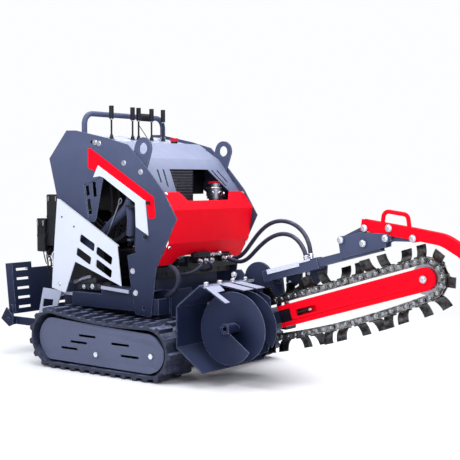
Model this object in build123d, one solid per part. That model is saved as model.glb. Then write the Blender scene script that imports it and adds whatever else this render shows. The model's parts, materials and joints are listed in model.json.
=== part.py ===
"""Tracked stand-on trencher: carrier machine with a chain trencher on its front hitch.

Millimetres. +X points to the trencher, +Y to the machine's left, +Z up, ground at Z = 0.
Everything is drawn with X = 0 near the middle of the tracks and moved by -MID_LENGTH_X when it is
written, so that the part's origin is the bottom centre of its bounding box.
"""
import os
from math import acos, atan2, cos, degrees, hypot, pi, radians, sin, tan

from build123d import *

# ---------------------------------------------------------------- driving dimensions
MID_LENGTH_X = 534.0

# tracks
TRACK_OUTER_Y = 500
TRACK_INNER_Y = 270
REAR_WHEEL = (-345, 164)
FRONT_WHEEL = (345, 148)
REAR_BELT_RADIUS = 146
FRONT_BELT_RADIUS = 130
BELT_THICKNESS = 14
LUG_HEIGHT = 18
LUG_COUNT = 31
SAG_RADIUS = 3600
SPROCKET_TEETH = 9
ROLLER_RADIUS = 44
ROLLER_X = (-130, 110)
AXLE_RADIUS = 20
ROLLER_AXLE_RADIUS = 12
PANEL_BOLTS = ((-30, 101), (348, 130))
SHAFT_CLEARANCE = 0.05

# body
SIDE_Y = (-354, -348)
BODY_HALF_WIDTH = 345
TUB_HALF_WIDTH = 258
TUB_X = (-480, 300)
TUB_Z = (90, 440)
SHEET = 5
HOOD_PROFILE = [(8, 1214), (160, 1124), (305, 938)]
COVER_PROFILE = [(318, 948), (388, 858), (361, 687), (288, 571)]
FILLER = (-45, 185)
COVER_BOLTS = (((327, 937), (90, 70)), ((349, 668), (116, -73)))
COOLER_Y = (-250, 90)
FAN_AXLE = (-80, 980)
FILTER = (205, 240)
LEVER_X = -150
LEVER_PIVOT_Z = 1190
LEVER_Y = (-220, -50, 0, 110, 210)
GRAB_BAR_X = -250
GRAB_BAR_HALF_WIDTH = 325
GRAB_BAR_FOOT = 1262
GRAB_BAR_TOP = 1370
PLATFORM_PIVOT = (-818, 213)
PLATFORM_LEAN = 6.3

# hitch and trencher
HITCH_PIVOT = (400, 110)
HITCH_PIN_RADIUS = 20
CYLINDER_BASE = (20, 340)
CYLINDER_EYE = (440, 300)
OPEN_PIVOT_PLAY = 8
HEAD_AXLE = (763, 296)
BOOM_ANGLE = 16.72
BOOM_LENGTH = 942
BOOM_Y = -100
BOOM_HALF_HEIGHT = 53
BOOM_HALF_WIDTH = 30
CHAIN_RADIUS = 84
CHAIN_PINS = 58
CHAIN_SAG = 26
BUSH_RADIUS = 11
PIN_RADIUS = 7
LINK_HALF_HEIGHT = 16
ARM_ANGLE = 15
ARM_POINT = (1100, 612)
AUGER_RADIUS = 174
AUGER_Y = (-410, -218)
AUGER_TURNS = 2
SHIELD_Y = (-460, 60)
SHIELD_PROFILE = [(650, 500), (506, 388), (506, 190), (665, 79)]
HOSE_RADIUS = 11

OUTER_HOSE = [
    (352, 170, 585), (396, 170, 585), (440, 160, 597), (488, 146, 631), (540, 128, 681), (600, 110, 736),
    (668, 90, 779), (744, 72, 801), (818, 55, 798), (884, 38, 777), (936, 22, 742), (972, 6, 698),
    (990, -6, 652),
    (996, -10, 615),
]
INNER_HOSE = [
    (352, 120, 585), (396, 120, 585), (440, 114, 573), (484, 105, 573), (526, 96, 587), (564, 86, 612),
    (606, 74, 645), (654, 60, 679), (704, 46, 708), (758, 32, 729), (814, 18, 738), (868, 4, 732),
    (914, -10, 712),
    (952, -24, 682), (980, -36, 645), (994, -44, 606),
]


# ---------------------------------------------------------------- drawing helpers
def block(x, y, z):
    """Box from three (low, high) ranges."""
    size = Box(x[1] - x[0], y[1] - y[0], z[1] - z[0])
    return Pos((x[0] + x[1]) / 2, (y[0] + y[1]) / 2, (z[0] + z[1]) / 2) * size


def rod_x(y, z, radius, x):
    return Pos((x[0] + x[1]) / 2, y, z) * Rot(0, 90, 0) * Cylinder(radius, x[1] - x[0])


def rod_y(x, z, radius, y):
    return Pos(x, (y[0] + y[1]) / 2, z) * Rot(90, 0, 0) * Cylinder(radius, y[1] - y[0])


def rod_z(x, y, radius, z):
    return Pos(x, y, (z[0] + z[1]) / 2) * Cylinder(radius, z[1] - z[0])


def hexagon_y(x, z, radius, y):
    """Hexagonal bolt head with its axis along Y."""
    corners = [(x + radius * cos(pi * k / 3), y[0], z + radius * sin(pi * k / 3)) for k in range(6)]
    return extrude(make_face(Polyline(*corners, close=True)), amount=y[1] - y[0], dir=(0, 1, 0))


def outline(corners, radius):
    """Closed wire through 3-D corners, rounded when radius is given."""
    if radius:
        return FilletPolyline(*corners, radius=radius, close=True)
    return Polyline(*corners, close=True)


def plate_xz(points, y, radius=0):
    """Flat plate with an (X, Z) outline, filling the range y."""
    wire = outline([(px, y[0], pz) for px, pz in points], radius)
    return extrude(make_face(wire), amount=y[1] - y[0], dir=(0, 1, 0))


def plate_yz(points, x, radius=0):
    """Flat plate with a (Y, Z) outline, filling the range x."""
    wire = outline([(x[0], py, pz) for py, pz in points], radius)
    return extrude(make_face(wire), amount=x[1] - x[0], dir=(1, 0, 0))


def bar_corners(start, end, width):
    """Four corners of a straight bar of the given width between two 2-D points."""
    length = hypot(end[0] - start[0], end[1] - start[1])
    nx = -(end[1] - start[1]) / length * width / 2
    ny = (end[0] - start[0]) / length * width / 2
    return [(start[0] + nx, start[1] + ny), (end[0] + nx, end[1] + ny),
            (end[0] - nx, end[1] - ny), (start[0] - nx, start[1] - ny)]


def offset_line(points, distance):
    """The 2-D polyline moved sideways (to its right-hand side) by distance, with mitred corners."""
    moved = []
    for index, (px, pz) in enumerate(points):
        normals = []
        for a, b in ((index - 1, index), (index, index + 1)):
            if a < 0 or b >= len(points):
                continue
            dx = points[b][0] - points[a][0]
            dz = points[b][1] - points[a][1]
            normals.append((dz / hypot(dx, dz), -dx / hypot(dx, dz)))
        nx = sum(n[0] for n in normals) / len(normals)
        nz = sum(n[1] for n in normals) / len(normals)
        scale = distance / (nx * nx + nz * nz)
        moved.append((px + nx * scale, pz + nz * scale))
    return moved


def folded_sheet(points, thickness, y):
    """Sheet whose outer face follows the (X, Z) points; the metal lies on their right-hand side."""
    return plate_xz(points + offset_line(points, thickness)[::-1], y)


def tangent_hull(centre_a, radius_a, centre_b, radius_b, y):
    """Plate round two circles joined by their outer tangents."""
    span = hypot(centre_b[0] - centre_a[0], centre_b[1] - centre_a[1])
    heading = atan2(centre_b[1] - centre_a[1], centre_b[0] - centre_a[0])
    spread = acos((radius_a - radius_b) / span)

    def rim(centre, radius, angle):
        return (centre[0] + radius * cos(angle), y[0], centre[1] + radius * sin(angle))

    up, down = heading + spread, heading - spread
    edges = [
        Line(rim(centre_a, radius_a, up), rim(centre_b, radius_b, up)),
        ThreePointArc(rim(centre_b, radius_b, up), rim(centre_b, radius_b, heading),
                      rim(centre_b, radius_b, down)),
        Line(rim(centre_b, radius_b, down), rim(centre_a, radius_a, down)),
        ThreePointArc(rim(centre_a, radius_a, down), rim(centre_a, radius_a, heading + pi),
                      rim(centre_a, radius_a, up)),
    ]
    return extrude(make_face(edges), amount=y[1] - y[0], dir=(0, 1, 0))


def tube_along(points, radius, bends):
    """Round bar along straight runs joined by tangent arcs."""
    path = FilletPolyline(*points, radius=bends)
    return sweep(Plane(path @ 0, z_dir=path % 0) * Circle(radius), path=path)


def mirrored(shape):
    return mirror(shape, about=Plane.XZ)


def both_sides(shape):
    return Compound([*shape.solids(), *mirrored(shape).solids()])


def group(*shapes):
    return Compound([solid for shape in shapes for solid in shape.solids()])


# ---------------------------------------------------------------- tracks
def sag_centre():
    """Centre of the sagging top run: its circle touches both wheel circles from outside."""
    ra = SAG_RADIUS + REAR_BELT_RADIUS
    rb = SAG_RADIUS + FRONT_BELT_RADIUS
    dx = FRONT_WHEEL[0] - REAR_WHEEL[0]
    dz = FRONT_WHEEL[1] - REAR_WHEEL[1]
    span = hypot(dx, dz)
    along = (ra * ra - rb * rb + span * span) / (2 * span)
    height = (ra * ra - along * along) ** 0.5
    return (REAR_WHEEL[0] + (along * dx - height * dz) / span,
            REAR_WHEEL[1] + (along * dz + height * dx) / span)


def belt_loop(inset, y):
    """Closed belt line, inset from the outer face of the belt."""
    centre = sag_centre()
    rear = REAR_BELT_RADIUS - inset
    front = FRONT_BELT_RADIUS - inset
    bottom = REAR_WHEEL[1] - rear

    def towards_sag(wheel, radius):
        span = hypot(centre[0] - wheel[0], centre[1] - wheel[1])
        return (wheel[0] + (centre[0] - wheel[0]) / span * radius, y,
                wheel[1] + (centre[1] - wheel[1]) / span * radius)

    rear_top = towards_sag(REAR_WHEEL, rear)
    front_top = towards_sag(FRONT_WHEEL, front)
    lowest = (centre[0], y, centre[1] - SAG_RADIUS - inset)
    return Wire([
        Line((REAR_WHEEL[0], y, bottom), (FRONT_WHEEL[0], y, bottom)).edge(),
        ThreePointArc((FRONT_WHEEL[0], y, bottom), (FRONT_WHEEL[0] + front, y, FRONT_WHEEL[1]),
                      front_top).edge(),
        ThreePointArc(front_top, lowest, rear_top).edge(),
        ThreePointArc(rear_top, (REAR_WHEEL[0] - rear, y, REAR_WHEEL[1]),
                      (REAR_WHEEL[0], y, bottom)).edge(),
    ])


def track_belt():
    """Right-hand rubber belt with two staggered rows of lugs."""
    width = TRACK_OUTER_Y - TRACK_INNER_Y
    outer = belt_loop(0, -TRACK_OUTER_Y)
    belt = extrude(Face(outer, [belt_loop(BELT_THICKNESS, -TRACK_OUTER_Y)]), amount=width, dir=(0, 1, 0))
    rows = [((-TRACK_OUTER_Y, -TRACK_OUTER_Y + width * 0.46), 0.25),
            ((-TRACK_INNER_Y - width * 0.46, -TRACK_INNER_Y), 0.75)]
    lugs = []
    for y, phase in rows:
        for index in range(LUG_COUNT):
            share = (index + phase) / LUG_COUNT
            foot = outer.position_at(share)
            along = outer.tangent_at(share)
            out = Vector(along.Z, 0, -along.X)
            corners = [foot - along * 19 - out * 2, foot + along * 19 - out * 2,
                       foot + along * 11 + out * LUG_HEIGHT, foot - along * 11 + out * LUG_HEIGHT]
            lugs.append(plate_xz([(c.X, c.Z) for c in corners], y))
    return belt.fuse(*lugs) - block((-600, 600), (-600, 0), (-20, 0))


def track_panel():
    """Dished side panel: its middle is set in, and its upper and lower bands slope outwards."""
    low_y, mid_y, back_y = -484, -471, -467
    panel = tangent_hull((-345, 158), 112, (330, 142), 100, (low_y, back_y))
    lower = plate_yz([(mid_y, 72), (mid_y, 150), (-520, 150), (-520, -20)], (-520, 520))
    upper = plate_yz([(mid_y, 100), (mid_y, 212), (-520, 320), (-520, 100)], (-620, 620))
    panel -= lower + Rot(0, 5, 0) * upper
    for x, z in ((-98, 190), (-161, 152), (-230, 114), (137, 168), (202, 112)):
        panel -= plate_xz(bar_corners((x - 62, z), (x + 62, z), 13), (-500, -460), 6)
    for x, z in PANEL_BOLTS:
        panel -= rod_y(x, z, 8, (-500, -460))
    return panel


def track_frame():
    """Beam inside the belt with the wheel axles, panel standoffs and the drive motor."""
    beam = plate_xz([(-250, 85), (330, 85), (395, 120), (395, 175), (330, 205), (-235, 222), (-275, 150)],
                    (-335, -305))
    beam += block((-200, -120), (-305, -TUB_HALF_WIDTH), (110, 200))
    beam += block((120, 200), (-305, -TUB_HALF_WIDTH), (110, 200))
    beam += rod_y(*FRONT_WHEEL, AXLE_RADIUS, (-452, -335))
    beam += block((325, 371), (-466, -452), (112, 166))
    for x in ROLLER_X:
        beam += rod_y(x, roller_z(), ROLLER_AXLE_RADIUS, (-440, -335))
    beam += rod_y(*PANEL_BOLTS[0], 14, (-466.5, -335))
    motor = rod_y(*REAR_WHEEL, 62, (-322, -TUB_HALF_WIDTH)) + rod_y(*REAR_WHEEL, AXLE_RADIUS, (-440, -322))
    motor -= beam
    return group(beam, motor)


def roller_z():
    return REAR_WHEEL[1] - REAR_BELT_RADIUS + BELT_THICKNESS + 1 + ROLLER_RADIUS


def drive_sprocket():
    """Toothed wheel at the rear of the track, on the motor shaft."""
    x, z = REAR_WHEEL
    wheel = rod_y(x, z, 100, (-400, -370)) + rod_y(x, z, 42, (-430, -345))
    for index in range(SPROCKET_TEETH):
        angle = 2 * pi * index / SPROCKET_TEETH
        tip = (x + 124 * cos(angle), z + 124 * sin(angle))
        root = (x + 80 * cos(angle), z + 80 * sin(angle))
        wheel += plate_xz(bar_corners(root, tip, 34), (-396, -374))
    wheel -= rod_y(x, z, AXLE_RADIUS + SHAFT_CLEARANCE, (-500, -300))
    for index in range(5):
        angle = 2 * pi * index / 5
        wheel -= rod_y(x + 70 * cos(angle), z + 70 * sin(angle), 16, (-500, -300))
    return wheel


def idler():
    """Two-flange front idler."""
    x, z = FRONT_WHEEL
    wheel = rod_y(x, z, 112, (-424, -396)) + rod_y(x, z, 112, (-374, -346)) + rod_y(x, z, 58, (-432, -340))
    return wheel - rod_y(x, z, AXLE_RADIUS + SHAFT_CLEARANCE, (-500, -300))


def roller(x):
    """Bottom roller with two treads."""
    z = roller_z()
    wheel = rod_y(x, z, ROLLER_RADIUS, (-428, -398))
    wheel += rod_y(x, z, ROLLER_RADIUS, (-372, -342))
    wheel += rod_y(x, z, 30, (-434, -337))
    return wheel - rod_y(x, z, ROLLER_AXLE_RADIUS + SHAFT_CLEARANCE, (-500, -300))


# ---------------------------------------------------------------- carrier body
SIDE_OUTLINE = [
    (-359, 1279), (-287, 1277), (-50, 1230), (90, 1193), (224, 1067), (325, 958), (417, 815), (281, 558),
    (244, 306), (139, 313), (104, 479), (84, 616), (142, 632), (145, 768), (140, 892), (-83, 1022),
    (-96, 1031),
    (-232, 987), (-196, 791), (-186, 742), (-424, 872), (-494, 1128),
]
SIDE_BOLTS = [(-145, 1210), (-115, 1204), (62, 1098), (179, 1051), (121, 537), (141, 424)]
SIDE_HOLES = [(-168, 1212), (219, 892), (200, 717), (199, 347)]


def lower_frame():
    """Tub between the tracks with fenders, cross plates, hitch ears and platform arms."""
    x, z, half = TUB_X, TUB_Z, TUB_HALF_WIDTH
    frame = block(x, (-half, half), z)
    frame -= block((x[0] + 6, x[1] - 6), (-half + 6, half - 6), (z[0] + 8, z[1] + 10))
    frame -= block((x[1] - 20, x[1] + 20), (-90, 90), (240, z[1] + 10))
    side = block((-330, 240), (-347, -341), (328, 400)) + block((-110, 240), (-347, -341), (394, z[1]))
    side += block((-330, -104), (-347, -half), (394, 400)) + block((-110, -104), (-347, -half), (394, z[1]))
    side += block((-110, 240), (-347, -half), (z[1] - 6, z[1]))
    side += plate_xz([(180, 319), (290, 319), (290, 400), (180, 400)], (-347, -341))
    side += block((284, 290), (-347, -half), (319, 400))
    side += plate_xz([(294, 80), (400, 76), (434, 96), (434, 130), (400, 170), (372, 300), (294, 300)],
                     (-250, -232))
    side -= rod_y(*HITCH_PIVOT, HITCH_PIN_RADIUS, (-260, -220))
    side += rod_y(*HITCH_PIVOT, HITCH_PIN_RADIUS, (-256, -200))
    side += platform_arm()
    frame += side + mirrored(side)
    frame += block((-536, -516), (-346, 346), (182, 226))
    for y in (-220, 180):
        frame += block((-520, -470), (y, y + 40), (182, 226))
    lug = block((-6, 46), (-42, -32), (300, 366)) + block((-40, 46), (-42, -32), (300, 320))
    lug -= rod_y(*CYLINDER_BASE, 12, (-60, 60))
    cross = block((-60, -40), (-half + 3, half - 3), (300, 366)) + block((-44, -6), (-42, -32), (300, 366))
    frame += cross + lug + mirrored(lug) + mirrored(block((-44, -6), (-42, -32), (300, 366)))
    frame += rod_y(*CYLINDER_BASE, 12, (-46, 46))
    frame += block((200, 206), (-half + 5, half - 5), (395, 520))
    return frame


def platform_arm():
    """Right-hand arm from the rear bar to the platform hinge, with its pointed ear and hinge pin."""
    x, z = PLATFORM_PIVOT
    arm = block((x - 12, -516), (-346, -338), (182, 226))
    arm += block((-796, -786), (-372, -338), (182, 226))
    ear = plate_xz([(x - 69, z - 2), (x - 24, z + 64), (x + 30, z + 22), (x + 30, z - 31),
                    (x - 2, z - 45)], (-372, -364))
    return arm + ear + rod_y(x, z, 10, (-378, -340))


def side_plate():
    """Right-hand folded side plate with its bolt holes."""
    plate = plate_xz(SIDE_OUTLINE, SIDE_Y)
    for px, pz in SIDE_HOLES:
        plate -= rod_y(px, pz, 11, (-360, -340))
    return plate


def vent_bracket():
    """Slotted triangular bracket behind the cut-out of the side plate."""
    bracket = plate_xz([(-244, 992), (-90, 1036), (-146, 800), (-160, 786), (-204, 786)], (-348, -344))
    for start, end in (((-212, 980), (-203, 925)), ((-160, 1000), (-152, 920)), ((-200, 908), (-187, 826))):
        bracket -= plate_xz(bar_corners(start, end, 26), (-352, -340))
    return bracket


def white_trim():
    points = [(-122, 1088), (211, 903), (231, 725), (145, 768), (140, 892), (-83, 1022), (-110, 1030),
              (-159, 1024)]
    return plate_xz(points, (SIDE_Y[0] - 2, SIDE_Y[0]))


def red_trim():
    points = [(-194, 1177), (-177, 1179), (268, 922), (280, 817), (237, 809), (211.5, 903.5),
              (-122, 1088.6),
              (-142, 1055), (-195, 1074)]
    trim = plate_xz(points, (SIDE_Y[0] - 2, SIDE_Y[0]))
    return trim - rod_y(219, 892, 11, (-360, -340))


def guard_panel():
    """White side guard with four vents and a folded diagonal top edge."""
    panel = plate_xz([(-412, 908), (32, 666), (59, 456), (-278, 569), (-355, 394), (-459, 417),
                      (-435, 680)], (-376, -371))
    panel += plate_xz(bar_corners((-409, 903), (30, 664), 6), (-371, -358))
    vents = [((-186, 674), (106, -52)), ((-213, 601), (106, -52)), ((-62, 610), (112, -57)),
             ((-65, 541), (112, -57))]
    for (cx, cz), (ux, uz) in vents:
        signs = ((-1, -1), (1, -1), (1, 1), (-1, 1))
        corners = [(cx + (a * ux + b * -8) / 2, cz + (a * uz + b * -44) / 2) for a, b in signs]
        panel -= plate_xz(corners, (-380, -340), 10)
    return panel - rod_y(-399, 440, 11, (-380, -340))


def guard_bracket():
    """Rear bracket plate, its spacer block to the fender and the front rail that hold the guard panel."""
    plate = plate_xz([(-534, 410), (-388, 404), (-422, 318), (-572, 266)], (-371, -365))
    plate -= plate_xz([(-532, 350), (-454, 350), (-460, 318), (-542, 302)], (-380, -360))
    plate += block((-470, -400), (-365, -341), (372, 396))
    plate += block((-470, -330), (-347, -341), (380, 396))
    rail = plate_xz(bar_corners((-92, 440), (104, 428), 17), (-371, -363))
    rail += block((-80, -40), (-363, -347), (428, 440))
    return group(plate, rail)


def hood():
    """Grey folded hood with a window open at its lower edge and two pairs of slanted slots."""
    sheet = folded_sheet(HOOD_PROFILE, SHEET, (-BODY_HALF_WIDTH, BODY_HALF_WIDTH))
    sheet -= plate_yz([(-154, 1067), (176, 1067), (250, 944), (254, 900), (-220, 900), (-212, 944)],
                      (150, 400))
    eye_slot = block((60, 260), (-BODY_HALF_WIDTH - 5, -336.5), (950, 1250))
    sheet -= eye_slot + mirrored(eye_slot)
    for side in (-1, 1):
        for start, end in (((254, 1064), (284, 996)), ((206, 1064), (250, 974))):
            corners = bar_corners((side * start[0], start[1]), (side * end[0], end[1]), 13)
            sheet -= plate_yz(corners, (150, 400))
    return sheet


def front_cover():
    """Red three-face cover with a notch along its top and bottom edges."""
    sheet = folded_sheet(COVER_PROFILE, SHEET, (-BODY_HALF_WIDTH, BODY_HALF_WIDTH))
    sheet -= plate_yz([(-215, 960), (-211, 946), (-182, 902), (170, 902), (214, 940), (222, 960)],
                      (250, 450))
    sheet -= plate_yz([(-250, 550), (-240, 575), (-206, 616), (222, 616), (272, 572), (276, 550)],
                      (200, 450))
    return sheet


def lifting_eye():
    plate = tangent_hull((150, 1050), 52, (188, 1172), 57, (-347, -337))
    return plate - rod_y(188, 1172, 29, (-360, -330))


def grab_bar():
    half = GRAB_BAR_HALF_WIDTH
    path = [(GRAB_BAR_X, -half, GRAB_BAR_FOOT), (GRAB_BAR_X, -half, GRAB_BAR_TOP),
            (GRAB_BAR_X, half, GRAB_BAR_TOP),
            (GRAB_BAR_X, half, GRAB_BAR_FOOT)]
    return tube_along(path, 15, 60)


def control_deck():
    """Folded deck between the side plates, slotted for the levers and open for the filler neck."""
    profile = [(-426, 896), (-482, 1127), (-352, 1262), (-284, 1260), (-52, 1214), (0, 1199)]
    deck = folded_sheet(profile, SHEET, (-BODY_HALF_WIDTH, BODY_HALF_WIDTH))
    for y in LEVER_Y:
        deck -= block((LEVER_X - 40, LEVER_X + 40), (y - 10, y + 10), (1200, 1280))
    deck -= rod_z(*FILLER, 24, (1180, 1260))
    for y in (-GRAB_BAR_HALF_WIDTH, GRAB_BAR_HALF_WIDTH):
        deck += rod_z(GRAB_BAR_X, y, 20, (1236, GRAB_BAR_FOOT))
    return deck


def control_valve():
    """Valve bank under the deck with the shaft that the levers turn on."""
    valve = block((LEVER_X - 45, LEVER_X + 45), (-255, 245), (1080, 1150))
    for y in (-262, -135, 55, 160, 246):
        valve += block((LEVER_X - 12, LEVER_X + 12), (y - 5, y + 5), (1146, 1200))
    valve += rod_y(LEVER_X, LEVER_PIVOT_Z, 6, (-267, 251))
    valve += block((LEVER_X - 30, LEVER_X + 30), (-345, -255), (1085, 1095))
    valve += block((LEVER_X - 30, LEVER_X + 30), (245, 345), (1085, 1095))
    return valve


def control_lever(y):
    """Lever with a ring at its foot, a thin rod and a round grip."""
    lever = rod_y(LEVER_X, LEVER_PIVOT_Z, 13, (y - 7, y + 7))
    lever += rod_z(LEVER_X, y, 5, (LEVER_PIVOT_Z + 5, 1345)) + rod_z(LEVER_X, y, 13, (1342, 1412))
    return lever - rod_y(LEVER_X, LEVER_PIVOT_Z, 6 + SHAFT_CLEARANCE, (y - 20, y + 20))


def engine():
    """Twin-cylinder engine with its pump, on rails across the tub, and its muffler."""
    crankcase = block((-560, -240), (-190, 190), (452, 620))
    heads = Pos(-400, 0, 700) * Rot(0, 35, 0) * Box(150, 300, 210)
    heads += Pos(-400, 0, 700) * Rot(0, -35, 0) * Box(150, 300, 210)
    heads -= block((-700, -100), (-190, 190), (400, 620))
    rails = block((-600, -200), (-200, -160), (440, 452)) + block((-600, -200), (160, 200), (440, 452))
    rails += block((-470, -330), (-252, 252), (428, 440))
    pump = rod_x(0, 536, 60, (-240, -110)) + block((-240, -120), (-55, 55), (470, 600))
    muffler = rod_y(-590, 640, 55, (20, 240)) + rod_z(-590, 215, 18, (690, 800))
    fuel_tank = block((-410, -190), (-120, 240), (852, 1010))
    fuel_tank += block((-330, -270), (240, 347.7), (985, 1000))
    return group(crankcase + heads, rails, pump, muffler, fuel_tank)


def air_cleaner():
    """Black air cleaner housing at the rear right, with its taller intake box."""
    low = block((-656, -592), (-300, -184), (606, 788))
    tall = block((-592, -500), (-285, -200), (640, 924))
    foot = block((-592, -560), (-230, -189.7), (560, 642))
    return low + tall + foot


def hydraulic_tank():
    tank = block((-100, 60), (60, 320), (930, 1160)) + rod_z(*FILLER, 19, (1150, 1226))
    tank -= rod_z(*FILLER, 13, (1180, 1240))
    return tank + block((-80, 50), (320, 347.7), (1000, 1040))


def filler_cap():
    x, y = FILLER
    cap = rod_z(x, y, 22, (1226.3, 1246)) + rod_z(x, y, 12, (1200, 1227))
    for index in range(8):
        angle = pi * index / 4
        cap -= rod_z(x + 24 * cos(angle), y + 24 * sin(angle), 4, (1220, 1260))
    return cap


def oil_cooler():
    """Finned cooler behind the hood window, in a frame that holds the fan shaft."""
    low, high = COOLER_Y
    core = block((120, 168), COOLER_Y, (880, 1080))
    for index in range(12):
        core -= block((164, 175), (low + 8, high - 8), (890 + 15.6 * index, 898 + 15.6 * index))
    core += block((64, 120), (low - 5, low + 3), (875, 1080))
    core += block((64, 120), (high - 3, high + 5), (875, 1080))
    core += block((64, 168), (-345, high + 5), (867, 880)) + rod_x(*FAN_AXLE, 8, (90, 122))
    return core


def cooling_fan():
    """Six-blade fan on the cooler's stub shaft."""
    y, z = FAN_AXLE
    fan = rod_x(y, z, 24, (80, 112))
    for index in range(6):
        blade = Pos(96, y, z) * Rot(60 * index, 0, 0) * Pos(0, 0, 50) * Rot(0, 0, 30) * Box(4, 34, 68)
        fan += blade
    return fan - rod_x(y, z, 8 + SHAFT_CLEARANCE, (89, 130))


def oil_filter():
    """Filter head with a round bowl below, a cap on top and a bracket to the left side plate."""
    x, y = FILTER
    body = rod_z(x, y, 46, (905, 965)) + rod_z(x, y, 36, (780, 905)) + rod_z(x, y, 36, (965, 992))
    body += block((x - 15, x + 15), (y, 346), (915, 945))
    body += block((x - 20, x + 20), (y - 55, y - 40), (920, 950))
    return body


def coupler_block():
    """Valve block on a cross bar under the front cover, with quick couplers for the hoses."""
    bar = block((255, 275), (-346, 346), (534, 556))
    valve = block((262, 326), (-150, 230), (556, 606))
    couplers = [rod_x(y, 585, 17, (326, 351.7)) for y in (120, 170)]
    couplers += [rod_x(y, 585, 13, (326, 366)) for y in (-110, -60, -10)]
    return group(bar + valve, *[c - valve for c in couplers])


def chassis_hoses():
    """Hoses inside the body: suction hose, cooler hose and the loop behind the cover."""
    suction = tube_along([(100, -285, 640), (112, -290, 750), (100, -285, 864)], 24, 250)
    cooler_hose = tube_along([(215, -20, 607), (224, -20, 730), (205, -20, 866)], 15, 200)
    return group(suction, cooler_hose)


def chassis_bolts():
    """Zinc bolts of the side plates, track panels, cover and lifting eyes."""
    bolts = []
    for x, z in SIDE_BOLTS:
        bolts.append(hexagon_y(x, z, 13, (-361, -354)) + rod_y(x, z, 15, (-355, -354)))
    for x, z in PANEL_BOLTS:
        bolts.append(hexagon_y(x, z, 15, (-479, -471)) + rod_y(x, z, 7.9, (-472, -467)))
    for (x, z), (tilt_x, tilt_z) in COVER_BOLTS:
        face = Plane(origin=(x, -332, z), x_dir=(0, 1, 0), z_dir=(tilt_x, 0, tilt_z))
        bolts.append(extrude(face.offset(0.5) * RegularPolygon(10, 6), amount=7))
    return both_sides(group(*bolts))


def platform():
    """Operator platform, folded up: slotted plate with side flanges and hinge straps."""
    x, z = PLATFORM_PIVOT
    tread = block((0, 6), (-352, 352), (0, 292)) - block((-5, 10), (-205, 205), (257, 300))
    tread += block((-50, 6), (-352, -346), (0, 292)) + block((-50, 6), (346, 352), (0, 292))
    tread += block((-50, 6), (-352, -205), (286, 292)) + block((-50, 6), (205, 352), (286, 292))
    tread += block((-50, 6), (-205, 205), (251, 257)) + block((-50, 6), (-352, 352), (0, 6))
    for index in range(5):
        level = 36 + index * 54
        for y, width in ((-325, 91), (-45, 90), (234, 91)):
            tread -= block((-8, 12), (y, y + width), (level - 7, level + 7))
    placed = Pos(x + 31, 0, z + 30) * Rot(0, -PLATFORM_LEAN, 0) * tread
    strap = tangent_hull((x, z), 18, (x + 4, z + 66), 14, (-360, -352))
    placed += strap + mirrored(strap)
    return placed - rod_y(x, z, 10 + SHAFT_CLEARANCE, (-400, 400))


# ---------------------------------------------------------------- hitch
def hitch_frame():
    """Two pivoting side plates, the attachment plate and the lugs for the cylinder."""
    px, pz = HITCH_PIVOT
    cheek = plate_xz([(px - 30, pz - 28), (px + 30, pz - 32), (480, 120), (480, 400), (450, 400),
                      (px - 30, pz + 30)],
                     (-228, -206))
    cheek -= rod_y(px, pz, HITCH_PIN_RADIUS + SHAFT_CLEARANCE, (-260, -190))
    frame = block((480, 492), (-250, 250), (96, 420)) + cheek + mirrored(cheek)
    ex, ez = CYLINDER_EYE
    lug = plate_xz([(ex - 36, ez - 30), (ex - 36, ez + 30), (480, ez + 46), (480, ez - 46)], (46, 58))
    frame += lug + mirrored(lug)
    frame += rod_y(ex, ez, 12, (-58, 58))
    return frame


def cylinder_frame():
    """Placement that puts local +X along the tilt cylinder, from its base pin."""
    bx, bz = CYLINDER_BASE
    ex, ez = CYLINDER_EYE
    return Pos(bx, 0, bz) * Rot(0, -degrees(atan2(ez - bz, ex - bx)), 0), hypot(ex - bx, ez - bz)


def tilt_cylinder():
    place, _ = cylinder_frame()
    barrel = rod_x(0, 0, 33, (40, 300)) + block((0, 42), (-26, 26), (-20, 20)) + rod_y(0, 0, 26, (-26, 26))
    barrel -= rod_y(0, 0, 12 + SHAFT_CLEARANCE, (-40, 40))
    barrel -= rod_x(0, 0, 27, (60, 290))
    barrel -= rod_x(0, 0, 16.05, (280, 320))
    ports = rod_z(70, 0, 9, (30, 48)) + rod_z(282, 0, 9, (30, 48))
    return place * (barrel + ports - rod_x(0, 0, 27, (60, 290)))


def tilt_rod():
    """Rod with its piston; the eye is larger than the hitch pin, which leaves play at this pivot."""
    place, length = cylinder_frame()
    eye = 12 + OPEN_PIVOT_PLAY
    rod = rod_x(0, 0, 16, (100, length - eye - 4)) + rod_x(0, 0, 26.9, (86, 104))
    rod += rod_y(length, 0, eye + 10, (-40, 40)) - rod_y(length, 0, eye, (-50, 50))
    return place * rod


# ---------------------------------------------------------------- trencher head
BOOM_FRAME = Pos(HEAD_AXLE[0], 0, HEAD_AXLE[1]) * Rot(0, -BOOM_ANGLE, 0)
ARM_FRAME = Pos(ARM_POINT[0], 0, ARM_POINT[1]) * Rot(0, -ARM_ANGLE, 0)


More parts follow.
